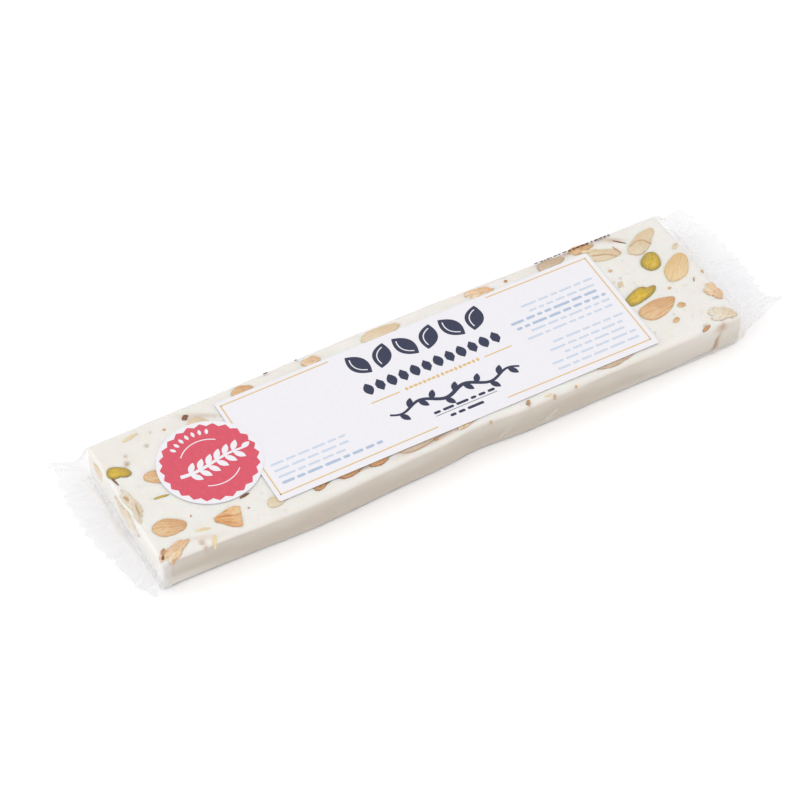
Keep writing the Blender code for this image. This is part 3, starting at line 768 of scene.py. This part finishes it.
def triangle_wave(value):
    """A zigzag from -1 to 1 with its peaks at whole numbers."""
    return 1 - 4 * abs(value - np.floor(value) - 0.5)


def read_table(table, place, column):
    """Smooth values of a fin table's column at places across the fin."""
    keys, values = np.array([(row[0], row[column]) for row in table]).T
    lower = np.clip(np.searchsorted(keys, place) - 1, 0, len(keys) - 2)
    share = (place - keys[lower]) / (keys[lower + 1] - keys[lower])
    return values[lower] + (values[lower + 1] - values[lower]) * (share + smooth(share)) / 2


def outward(y, z):
    """Directions square to an open line of points, upwards where the line runs to the back."""
    run, rise = np.gradient(y), np.gradient(z)
    size = np.hypot(run, rise)
    return -rise / size, run / size


def fin_ring(end, table, share, sections):
    """Upper and lower halves of one ring of a fin, from the bar's section out to the crimped seal."""
    place = np.linspace(-1, 1, len(sections[0][0]))
    front, back = side_limits(0.0)
    root_y = front + (back - front) * (place + 1) / 2
    ease = float(smooth(share))
    middle_y = root_y + (read_table(table, place, 2) - root_y) * ease
    middle_z = PACK_HEIGHT / 2 + (read_table(table, place, 3) - PACK_HEIGHT / 2) * ease
    out_y, out_z = outward(middle_y, middle_z)
    crimp = float(smooth((share - GUSSET_SHARE) / 0.16))
    ragged = noise(place * 9, 0 * place + end * 5, 1.0, 71)
    ridge = RIDGE_HEIGHT * triangle_wave(place * RIDGES / 2) * (0.8 + 0.4 * ragged)
    ridge += FINE_RIDGE_HEIGHT * triangle_wave(place * RIDGES * 1.5 + 0.3 * ragged)
    curl = CURL * share ** 3 * (noise(place * 4, 0 * place + end * 3, 1.0, 73) + 0.35)
    shift = ridge * crimp + curl
    middle_y, middle_z = middle_y + out_y * shift, middle_z + out_z * shift
    gusset = GUSSET_SHARE + (SIDE_GUSSET_SHARE - GUSSET_SHARE) * abs(place) ** SIDE_GUSSET_POWER
    blend = smooth(np.minimum(1.0, share / gusset))
    pleat = np.sin(np.pi * np.clip(share / gusset, 0, 1))
    reach = read_table(table, place, 1) * share
    teeth = smooth((share - 0.75) / 0.25) * np.where(place < SMOOTH_EDGE[end], 0.35, 1.0)
    reach = reach + TOOTH_DEPTH / 2 * triangle_wave(place * RIDGES / 2) * teeth + 0.5 * ragged * share ** 2
    halves = []
    for side, (section_y, section_z) in zip((1, -1), sections):
        folds = sum(height * noise(place * count, 0 * place + share * change, 1.0, seed + side + end)
                    for height, count, change, seed in FOLDS)
        flat_y, flat_z = middle_y + side * out_y * FIN_GAP, middle_z + side * out_z * FIN_GAP
        y = section_y + (flat_y - section_y) * blend
        z = section_z + (flat_z - section_z) * blend + side * folds * pleat
        halves.append(columns(end * (PACK_LENGTH / 2 + reach), y, z))
    return halves


def film_plan(points):
    """How hazy the film is: clear over the bar, whiter in the fins and left front corner, with painted light
    over the flare's shade and painted highlights along the creases.
    """
    x, y, z = np.moveaxis(points, -1, 0)
    haze_and_painted_light = smooth((abs(x) - PACK_LENGTH / 2 + 0.4) / 3)
    # Painted light on the flare, whiter film over its shade
    flare = smooth((x - FLARE_PAINTED_LIGHT_START) / FLARE_PAINTED_LIGHT_RUN) * smooth((FLARE_PAINTED_LIGHT_TOP - z) / 2)
    corner = smooth((HAZY_CORNER[0] - x) / 3) * smooth(HAZY_CORNER[1] - y)
    haze_and_painted_light = np.maximum(haze_and_painted_light, flare * smooth((-24.4 - y) / 0.5))
    haze_and_painted_light = np.maximum(haze_and_painted_light, CORNER_HAZE * corner)
    # Painted highlights along the front creases
    for start, end, rise, width in FRONT_CREASES:
        haze_and_painted_light = np.maximum(haze_and_painted_light, CREASE_HIGHLIGHT * rise * crease(start, end, width, x, z) * (y < -20))
    return columns(haze_and_painted_light, 0.0, 0.0)


def crease(start, end, width, x, z):
    """How much a place on a long side belongs to a crease there, from 0 to 1."""
    run_x, run_z = end[0] - start[0], end[1] - start[1]
    length = math.hypot(run_x, run_z)
    along = ((x - start[0]) * run_x + (z - start[1]) * run_z) / length
    apart = (-(x - start[0]) * run_z + (z - start[1]) * run_x) / length
    return np.exp(-(apart / width) ** 2) * smooth(along / 1.5) * smooth((length - along) / 1.5)


def film_relief(x, y, z, out_y, out_z, nuts):
    """Small creases of the film over its smooth form, its flare, and its bulges over the domed nuts."""
    height = abs(out_y) * layers(FILM_NOISE, x, z) + abs(out_z) * 0.03 * (noise(x, y, 12, 95) - 1)
    for nut in nuts:
        if nut.side == "top" and nut.look == "domed":
            reach = np.hypot(*nut_shares(nut, x, y))
            height += np.clip(out_z, 0, 1) * DOME_RISE * smooth((DOME_REACH - reach) / DOME_REACH)
    for start, end, rise, width in FRONT_CREASES:
        height += np.clip(-out_y, 0, 1) * rise * crease(start, end, width, x, z)
    flare = smooth((x - FLARE_START) / FLARE_RUN) * smooth((FLARE_TOP - z) / 3.0) * smooth((-y - 20) / 3)
    return height + FLARE_RISE * flare


def build_film(nuts, material):
    """One thin tube of film: round the bar, through the gussets and out to the two zigzag edges."""
    half = PACK_LENGTH / 2
    x = np.arange(-half, half + FILM_STEP / 2, PACK_LENGTH / round(PACK_LENGTH / FILM_STEP))
    sections = [shape(x, 0.0, FILM_SIDE_STEPS, FILM_TOP_STEPS) for shape in (upper_half, lower_half)]
    rings = []
    for index, place in enumerate(x):
        halves = []
        for side, (y, z) in zip((1, -1), sections):
            y, z = y[index], z[index]
            out_y, out_z = [side * part for part in outward(y, z)]
            lift = film_relief(place, y, z, out_y, out_z, nuts) * smooth((half - abs(place)) / 3)
            if side < 0:
                lift = lift * (1 - abs(out_z) ** 2)
            halves.append(columns(place, y + out_y * lift, z + out_z * lift))
        halves[1][[0, -1]] = halves[0][[0, -1]]
        rings.append(halves)
    shares = np.linspace(0, 1, FIN_STATIONS + 1)[1:]
    left = [fin_ring(-1, LEFT_FIN, share, [(y[0], z[0]) for y, z in sections]) for share in shares[::-1]]
    right = [fin_ring(1, RIGHT_FIN, share, [(y[-1], z[-1]) for y, z in sections]) for share in shares]
    rings = np.array([np.concatenate([upper, lower[::-1]]) for upper, lower in left + rings + right])
    rings[..., 2] = np.maximum(rings[..., 2], 0.0)
    make_grid("film", rings, material, "wrapper", "clear_film", film_plan(rings))


def build_seam(material):
    """The film's long back seam, a narrow ribbed strip folded flat under the bar."""
    x = np.arange(-PACK_LENGTH / 2, PACK_LENGTH / 2, FILM_STEP)
    along, across = np.meshgrid(x, np.linspace(0, 1, 9), indexing="ij")
    y = SEAM_Y + SEAM_WIDTH * across + 0.25 * noise(along, 0 * along, 8, 97) * across
    z = SEAM_Z + 0.02 * triangle_wave(along / 2.4) * smooth(across * 4)
    make_grid("film_seam", columns(along, y, z), material, slot="clear_film", wrap=False)


def rounded_rectangle(size, radius, steps=5):
    """Outline of a rectangle with round corners, anticlockwise round its middle."""
    outline = []
    for quarter, (side_x, side_y) in enumerate(((1, 1), (-1, 1), (-1, -1), (1, -1))):
        for step in range(steps + 1):
            turn = math.pi / 2 * (quarter + step / steps)
            outline.append((side_x * (size[0] / 2 - radius) + radius * math.cos(turn),
                            side_y * (size[1] / 2 - radius) + radius * math.sin(turn)))
    return outline


def leaf_outline(x, y, length, width, turn, steps=10):
    """Outline of a pointed leaf centred at a place."""
    share = np.linspace(-1, 1, steps)
    edge = width / 2 * (1 - share ** 2)
    along = np.concatenate([share, share[::-1][1:-1]]) * length / 2
    across = np.concatenate([edge, -edge[::-1][1:-1]])
    along, across = turned(along, across, math.radians(turn))
    return columns(x + along, y + across)


class Plates:
    """Thin closed plates of one ink or paper on a carrying surface, gathered into one piece."""

    def __init__(self, surface, bottom=-0.02, top=INK_THICKNESS):
        self.surface, self.bottom, self.top = surface, bottom, top
        self.points, self.faces = [], []

    def _add(self, outline):
        start = len(self.points)
        for x, y in outline:
            place = self.surface(x, y)
            self.points.append((place[0], place[1], place[2] + self.top))
            self.points.append((place[0], place[1], place[2] + self.bottom))
        return start

    def shape(self, outline):
        """A plate from its outline."""
        start, count = self._add(outline), len(outline)
        ring = [start + 2 * index for index in range(count)]
        self.faces += [ring, [corner + 1 for corner in reversed(ring)]]
        self.faces += [[here, here + 1, after + 1, after] for here, after in zip(ring, ring[1:] + ring[:1])]

    def ribbon(self, path, width):
        """A plate that follows a line; width is one number, or one for each point."""
        path = np.asarray(path, float)
        run = np.gradient(path, axis=0)
        run /= np.linalg.norm(run, axis=1)[:, None]
        side = columns(-run[:, 1], run[:, 0]) * np.broadcast_to(width, len(path))[:, None] / 2
        left, right = self._add(path + side), self._add(path - side)
        last = 2 * (len(path) - 1)
        for step in range(0, last, 2):
            a, b, c, d = left + step, right + step, right + step + 2, left + step + 2
            self.faces += [[a, b, c, d], [a + 1, d + 1, c + 1, b + 1]]
            self.faces += [[a, d, d + 1, a + 1], [b, b + 1, c + 1, c]]
        self.faces += [[left, left + 1, right + 1, right],
                       [left + last, right + last, right + last + 1, left + last + 1]]

    def make(self, name, material, slot, node=None):
        make_object(name, self.points, self.faces, material, node)


def on_label(x, y):
    """A place on the label's top, from its own middle, in the bar's frame."""
    x, y = turned(x, y, math.radians(LABEL_TURN))
    return LABEL_CENTRE[0] + x, LABEL_CENTRE[1] + y, PACK_HEIGHT + PAPER_LIFT + PAPER_THICKNESS


def on_sticker(x, y):
    """A place on the sticker's top, from its own middle; it steps up where it overlaps the label."""
    x, y = STICKER_CENTRE[0] + x, STICKER_CENTRE[1] + y
    past_edge = x - LABEL_CENTRE[0] + LABEL_SIZE[0] / 2
    step = float(smooth(past_edge / STICKER_RAMP + 1)) * (PAPER_THICKNESS + PAPER_LIFT)
    return x, y, PACK_HEIGHT + PAPER_LIFT + PAPER_THICKNESS + step


def print_line(plates, start, end, y, height, rng):
    """A line of small print as plain round-ended bars, one for each word."""
    x = start
    while x < end - WORD_GAP[0]:
        length = min(rng.uniform(*WORD_LENGTH), end - x)
        word = rounded_rectangle((length, height), 0.45 * height, 3)
        plates.shape([(px + x + length / 2, py + y + height / 2) for px, py in word])
        x += length + WORD_GAP[1]


def stem_at(stem, share):
    """Places along a wavy stem, for shares from -1 to 1 of its half length."""
    middle_x, middle_y, half_length, slope, swing, waves = stem
    return middle_x + half_length * share, middle_y + slope * share + swing * np.sin(share * waves)


def build_label(materials):
    label = Plates(on_label, bottom=-PAPER_THICKNESS, top=0.0)
    label.shape(rounded_rectangle(LABEL_SIZE, LABEL_CORNER))
    label.make("label_paper", materials["coated_paper"], "label_paper", "label")

    gold = Plates(on_label)
    for start, end, steps in FRAME_LINES:
        gold.ribbon(np.linspace(start, end, steps), FRAME_WIDTH)
    *row, y = LOZENGE_ROW
    for x in np.linspace(*row):
        gold.shape(leaf_outline(x, y, 1.5, 0.9, 90 if round(x * 10) % 2 else 0, 6))
    gold.make("label_gold", materials["gold_ink"], "label_paper")

    navy = Plates(on_label)
    leaves = Plates(on_label, top=1.5 * INK_THICKNESS)
    white = Plates(on_label, top=2 * INK_THICKNESS)
    *row, y = EMBLEM_ROW
    for index, x in enumerate(np.linspace(*row)):
        turn = 62 if index % 2 else 118
        navy.shape(leaf_outline(x, y, 9.6, 5.6, turn, 16))
        white.ribbon(leaf_outline(x, y, 6.4, 2.9, turn, 14)[:14], 0.34)
    *row, y = LEAF_ROW
    for index, x in enumerate(np.linspace(*row)):
        navy.shape(leaf_outline(x, y, 4.7, 3.0, 90, 4 if index % 2 else 9))
    share = np.linspace(-1, 1, 90)
    navy.ribbon(columns(*stem_at(VINE, share)), 0.7 + 0.55 * np.cos(share * 1.5) ** 2)
    for index, share in enumerate(np.linspace(-0.86, 0.86, 11)):
        x, y = stem_at(VINE, share)
        side = 1 if index % 2 else -1
        leaves.shape(leaf_outline(x + 0.6, y + side * 1.5, 3.8, 1.9, side * 58))
    rng = np.random.default_rng(11)
    print_line(navy, -8.6, 11.0, -13.2, 0.9, rng)
    navy.ribbon(np.linspace((-8.6, -13.95), (11.2, -13.95), 10), 0.16)
    print_line(navy, -4.9, 5.9, -16.1, 0.95, rng)
    navy.make("label_navy", materials["navy_ink"], "label_paper")
    leaves.make("label_vine_leaves", materials["navy_ink"], "label_paper")
    white.make("label_inlines", materials["coated_paper"], "label_paper")

    pale, bold = Plates(on_label), Plates(on_label)
    for start, end, y, heavy in SMALL_PRINT:
        print_line(bold if heavy else pale, start, end, y, 0.95 if heavy else 0.75, rng)
    pale.make("label_small_print", materials["pale_blue_ink"], "label_paper")
    bold.make("label_bold_print", materials["mid_blue_ink"], "label_paper")


def disc(surface, edge, rings, bottom, top):
    """A closed round plate that follows a surface; edge is its radius at even turns."""
    turns = np.linspace(0, 2 * math.pi, len(edge), endpoint=False)
    rows = []
    for level, shares in ((top, np.linspace(0, 1, rings)), (bottom, np.linspace(1, 0, rings))):
        for share in shares:
            places = zip(share * edge * np.cos(turns), share * edge * np.sin(turns))
            rows.append([np.add(surface(x, y), (0, 0, level)) for x, y in places])
    return np.array(rows)


def arc_points(radius, start, end, steps=24):
    turns = np.radians(np.linspace(start, end, steps))
    return columns(radius * np.cos(turns), radius * np.sin(turns))


def build_sticker(materials):
    paper = disc(on_sticker, np.full(120, STICKER_RADIUS), 24, -PAPER_THICKNESS, 0.0)
    make_grid("sticker_paper", paper, materials["coated_paper"], "sticker", "sticker_paper")
    teeth = triangle_wave(np.arange(SEAL_TEETH * TOOTH_STEPS) / TOOTH_STEPS + 0.5)
    seal = disc(on_sticker, SEAL_RADIUS + TOOTH_RISE * teeth / 2, 24, -0.02, INK_THICKNESS)
    make_grid("sticker_seal", seal, materials["red_ink"], slot="sticker_paper")

    white = Plates(on_sticker, bottom=0.0, top=2 * INK_THICKNESS)
    white.ribbon(arc_points(8.2, 142, 52), 0.32)
    white.ribbon(arc_points(8.65, 240, 317), 0.32)
    for turn, (x, y) in zip(np.linspace(68, 130, 7), arc_points(11.1, 68, 130, 7)):
        white.shape(leaf_outline(x, y, 2.1, 1.0, turn))
    share = np.linspace(-1, 1, 40)
    white.ribbon(columns(*stem_at(SPRIG, share)), 0.95 - 0.3 * share)
    leaves = Plates(on_sticker, bottom=0.0, top=2.5 * INK_THICKNESS)
    for share in np.linspace(-0.72, 0.66, 6):
        x, y = stem_at(SPRIG, share)
        for side in (1, -1):
            leaves.shape(leaf_outline(x + 1.2, y + side * 1.8, 4.1, 1.8, side * 52))
    leaves.shape(leaf_outline(11.4, 0.6, 3.2, 1.7, 18))
    white.make("sticker_sprig", materials["coated_paper"], "sticker_paper")
    leaves.make("sticker_leaves", materials["coated_paper"], "sticker_paper")


def build_edge_marks(material):
    """A row of small dark dashes printed on the film along its back edge."""
    marks = Plates(lambda x, y: (x, y, float(skin_height(x, y)) + MARK_LIFT))
    rng = np.random.default_rng(5)
    for start, end, y_start, y_end in EDGE_MARKS:
        x = start
        while x < end:
            y = y_start + (y_end - y_start) * (x - start) / (end - start)
            low, high = y - MARK_WIDTH / 2, y + MARK_WIDTH / 2
            width = rng.uniform(0.5, 1.5)
            marks.shape([(x, low), (x + width, low), (x + width, high), (x, high)])
            x += width + rng.uniform(0.25, 0.6)
    marks.make("edge_marks", material, "clear_film")


class Graph:
    """The node tree of one material."""

    def __init__(self, name):
        self.material = bpy.data.materials.new(name)
        self.material.use_nodes = True
        self.tree = self.material.node_tree
        self.tree.nodes.clear()
        self.output = self.tree.nodes.new("ShaderNodeOutputMaterial")

    def add(self, kind, inputs=None, **settings):
        node = self.tree.nodes.new("ShaderNode" + kind)
        for key, value in settings.items():
            setattr(node, key, value)
        for key, value in (inputs or {}).items():
            if isinstance(value, bpy.types.NodeSocket):
                self.tree.links.new(value, node.inputs[key])
            else:
                node.inputs[key].default_value = value
        return node

    def math(self, operation, first, second=0.0, third=0.0):
        return self.add("Math", {0: first, 1: second, 2: third}, operation=operation).outputs[0]

    def times(self, first, second):
        return self.math("MULTIPLY", first, second)

    def ramp(self, factor, low, high, start=0.0, end=1.0):
        """Values that run from start, where the factor is low, to end, where it is high."""
        node = self.add("ValToRGB", {"Fac": factor})
        for element, place, value in zip(node.color_ramp.elements, (low, high), (start, end)):
            element.position = place
            element.color = (value, value, value, 1)
        return node.outputs["Color"]

    def plan(self):
        """The mesh's own plan, whole and as its three parts."""
        vector = self.add("Attribute", attribute_name="plan").outputs["Vector"]
        return vector, self.add("SeparateXYZ", {"Vector": vector}).outputs

    def mix(self, factor, first, second):
        node = self.add("Mix", {0: factor}, data_type="RGBA")
        for index, value in ((6, first), (7, second)):
            if isinstance(value, tuple):
                node.inputs[index].default_value = (*value, 1)
            else:
                self.tree.links.new(value, node.inputs[index])
        return node.outputs[2]

    def noise(self, scale, detail=3.0, roughness=0.55, vector=None):
        """Noise with lumps about a metre over scale wide, unless told otherwise in the object's own space."""
        vector = vector or self.add("TexCoord").outputs["Object"]
        inputs = {"Vector": vector, "Scale": scale, "Detail": detail, "Roughness": roughness}
        return self.add("TexNoise", inputs).outputs["Fac"]

    def bump(self, height, strength, distance):
        inputs = {"Height": height, "Strength": strength, "Distance": distance}
        return self.add("Bump", inputs).outputs["Normal"]

    def principled(self, colour, roughness, **more):
        inputs = {"Base Color": colour if isinstance(colour, bpy.types.NodeSocket) else (*colour, 1),
                  "Roughness": roughness}
        inputs.update({key.replace("_", " "): value for key, value in more.items()})
        return self.shader("BsdfPrincipled", inputs)

    def shader(self, kind, inputs):
        return self.add(kind, inputs).outputs[0]

    def finish(self, shader):
        self.tree.links.new(shader, self.output.inputs["Surface"])
        return self.material


def nougat_material():
    graph = Graph("nougat_cream")
    colour = graph.mix(graph.ramp(graph.noise(160, 4), 0.35, 0.7), NOUGAT_LIGHT, NOUGAT_WARM)
    grains = graph.times(graph.ramp(graph.noise(1500, 2, 0.7), 0.6, 0.75), 0.35)
    colour = graph.mix(grains, colour, NOUGAT_GRAIN)
    plan = graph.plan()[1]
    # Painted shade darkens the long sides where the plan's Y is high
    colour = graph.mix(plan["Y"], colour, NOUGAT_SIDE_SHADE)
    # Brown stains and crack, and painted shade inside the air holes
    colour = graph.mix(plan["X"], colour, NOUGAT_STAIN_AND_SHADE)
    pores = graph.add("TexVoronoi", {"Vector": graph.add("TexCoord").outputs["Object"], "Scale": 520.0})
    pores = graph.times(graph.ramp(pores.outputs["Distance"], 0.0, 0.22), 0.4)
    height = graph.math("ADD", graph.times(graph.noise(2200, 3, 0.6), 0.6), pores)
    normal = graph.bump(height, 0.35, 0.00025)
    return graph.finish(graph.principled(
        colour, 0.55, Normal=normal, Subsurface_Weight=0.25, Subsurface_Scale=0.002))


def nut_material(name, light, dark, skin, stripes, roughness=0.5, gloss=0.0, rim_strength=0.25, veins=0.15,
                 pitch=16.0, rim_start=0.86):
    """Cut nut: stripes along its length, small flecks, pale veins, and a darker skin at the rim."""
    graph = Graph(name)
    plan, place = graph.plan()

    def streaks(along, across, detail=3):
        """Noise stretched over the nut's own plan."""
        stretched = graph.add("Mapping", {"Vector": plan, "Scale": (along, across, 0.0)}).outputs["Vector"]
        return graph.noise(1.0, detail, 0.6, stretched)

    wide, lines = streaks(1.3, 5.5), streaks(0.16 * pitch, pitch, 2)
    shade = graph.math("MULTIPLY_ADD", place["X"], 0.12, graph.math("MULTIPLY_ADD", place["Y"], 0.1, wide))
    colour = graph.mix(graph.ramp(shade, 0.35, 0.65), light, dark)
    colour = graph.mix(graph.times(graph.ramp(lines, 0.5, 0.68), stripes), colour, skin)
    flecks = graph.ramp(graph.noise(900, 3, 0.7), 0.56, 0.7)
    colour = graph.mix(graph.times(flecks, 0.35), colour, skin)
    rim = graph.math("ADD", place["Z"], graph.times(graph.math("SUBTRACT", wide, 0.5), 0.16))
    colour = graph.mix(graph.times(graph.ramp(rim, rim_start, 0.99), rim_strength), colour, skin)
    web = graph.math("ABSOLUTE", graph.math("SUBTRACT", streaks(2.2, 3.4), 0.5))
    web = graph.ramp(web, 0.0, 0.05, 1.0, 0.0)
    colour = graph.mix(graph.times(web, veins), colour, NOUGAT_LIGHT)
    height = graph.math("SUBTRACT", graph.math("ADD", graph.noise(1400, 3), lines), web)
    normal = graph.bump(height, 0.4, 0.0002)
    return graph.finish(graph.principled(
        colour, roughness, Normal=normal, Subsurface_Weight=0.15, Subsurface_Scale=0.0015,
        Specular_IOR_Level=0.35, Coat_Weight=gloss, Coat_Roughness=0.25))


def film_material():
    """Clear film: almost nothing face on, bright and glossy where it turns away, faintly milky, and whiter
    where its plan paints light over the flare's shade and highlights along the creases.
    """
    graph = Graph("clear_film")
    normal = graph.bump(graph.noise(200, 2), 0.2, 0.0004)
    clear = graph.shader("BsdfTransparent", {"Color": (*FILM_TINT, 1)})
    gloss = graph.shader("BsdfGlossy", {"Color": (1, 1, 1, 1), "Roughness": 0.16, "Normal": normal})
    through = graph.shader("BsdfTranslucent", {"Color": (*FILM_WHITE, 1)})
    facing = graph.shader("BsdfDiffuse", {"Color": (*FILM_WHITE, 1)})
    milk = graph.shader("MixShader", {0: 0.3, 1: facing, 2: through})
    # The plan's X is the film's haze together with painted light on the flare and painted highlights on the
    # creases
    haze_and_painted_light = graph.times(graph.plan()[1]["X"], graph.ramp(graph.noise(60, 2), 0.35, 0.65, 0.6, 1.0))
    haze_and_painted_light = graph.math("MULTIPLY_ADD", haze_and_painted_light, FIN_MILK - FILM_MILK, FILM_MILK)
    hazy = graph.shader("MixShader", {0: haze_and_painted_light, 1: clear, 2: milk})
    weight = graph.add("LayerWeight", {"Blend": 0.18, "Normal": normal}).outputs["Fresnel"]
    return graph.finish(graph.shader("MixShader", {0: graph.times(weight, 0.4), 1: hazy, 2: gloss}))


def paper_material(name, colour, fibre, roughness):
    """Smooth coated paper or ink with a trace of fibre in its colour and surface."""
    graph = Graph(name)
    darker = tuple(channel * (1 - 2.5 * fibre) for channel in colour)
    colour = graph.mix(graph.ramp(graph.noise(900, 4, 0.65), 0.35, 0.7), colour, darker)
    normal = graph.bump(graph.noise(2600, 2), 0.12, 0.0001)
    return graph.finish(graph.principled(colour, roughness, Normal=normal))


def floor_material():
    graph = Graph("pale_floor")
    tone = graph.mix(graph.ramp(graph.noise(9, 3), 0.3, 0.7), *FLOOR_TONES)
    return graph.finish(graph.principled(
        tone, 0.75, Emission_Color=(1, 1, 1, 1), Emission_Strength=FLOOR_GLOW))


def make_materials():
    materials = {"nougat": nougat_material(), "film": film_material()}
    for tone, (light, dark, skin, stripes, more) in NUT_TONES.items():
        name = "pistachio_green" if tone == "pistachio" else f"almond_{tone}"
        materials[tone] = nut_material(name, srgb(*light), srgb(*dark), srgb(*skin), stripes, **more)
    for name, (colour, fibre, roughness) in INKS.items():
        materials[name] = paper_material(name, srgb(*colour), fibre, roughness)
    return materials


def build_floor():
    mesh = bpy.data.meshes.new("floor")
    half = FLOOR_SIZE / 2
    corners = ((-half, -half), (half, -half), (half, half), (-half, half))
    mesh.from_pydata([(x, y, FLOOR_DROP) for x, y in corners], [], [(0, 1, 2, 3)])
    mesh.materials.append(floor_material())
    new_object("floor", mesh)


def aim(item, place, target):
    item.location = Vector(place)
    item.rotation_euler = (Vector(target) - Vector(place)).to_track_quat("-Z", "Y").to_euler()


def build_camera():
    data = bpy.data.cameras.new("camera")
    data.lens = LENS
    data.sensor_width = SENSOR
    data.clip_start, data.clip_end = 0.01, 20
    camera = new_object("camera", data)
    aim(camera, (np.array(EYE) + BAR_OFFSET) * MM, (np.array(AIM) + BAR_OFFSET) * MM)
    bpy.context.scene.camera = camera


def build_lights():
    for name, place, size, power in LIGHTS:
        data = bpy.data.lights.new(name, "AREA")
        data.shape = "RECTANGLE"
        data.size, data.size_y = size
        data.energy = power
        aim(new_object(name, data), place, (0, 0, 0))
    world = bpy.data.worlds.new("studio")
    bpy.context.scene.world = world
    world.use_nodes = True
    background = world.node_tree.nodes["Background"]
    background.inputs["Color"].default_value = (*WORLD_COLOUR, 1)
    background.inputs["Strength"].default_value = WORLD_STRENGTH
    bpy.context.scene.view_settings.view_transform = "Standard"


def main():
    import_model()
    nuts = nut_list()
    materials = make_materials()
    build_nougat(nuts, materials["nougat"])
    build_nuts(nuts, materials)
    build_flakes(materials)
    build_film(nuts, materials["film"])
    build_seam(materials["film"])
    build_label(materials)
    build_sticker(materials)
    build_edge_marks(materials["dark_mark_ink"])
    build_floor()
    build_camera()
    build_lights()


main()
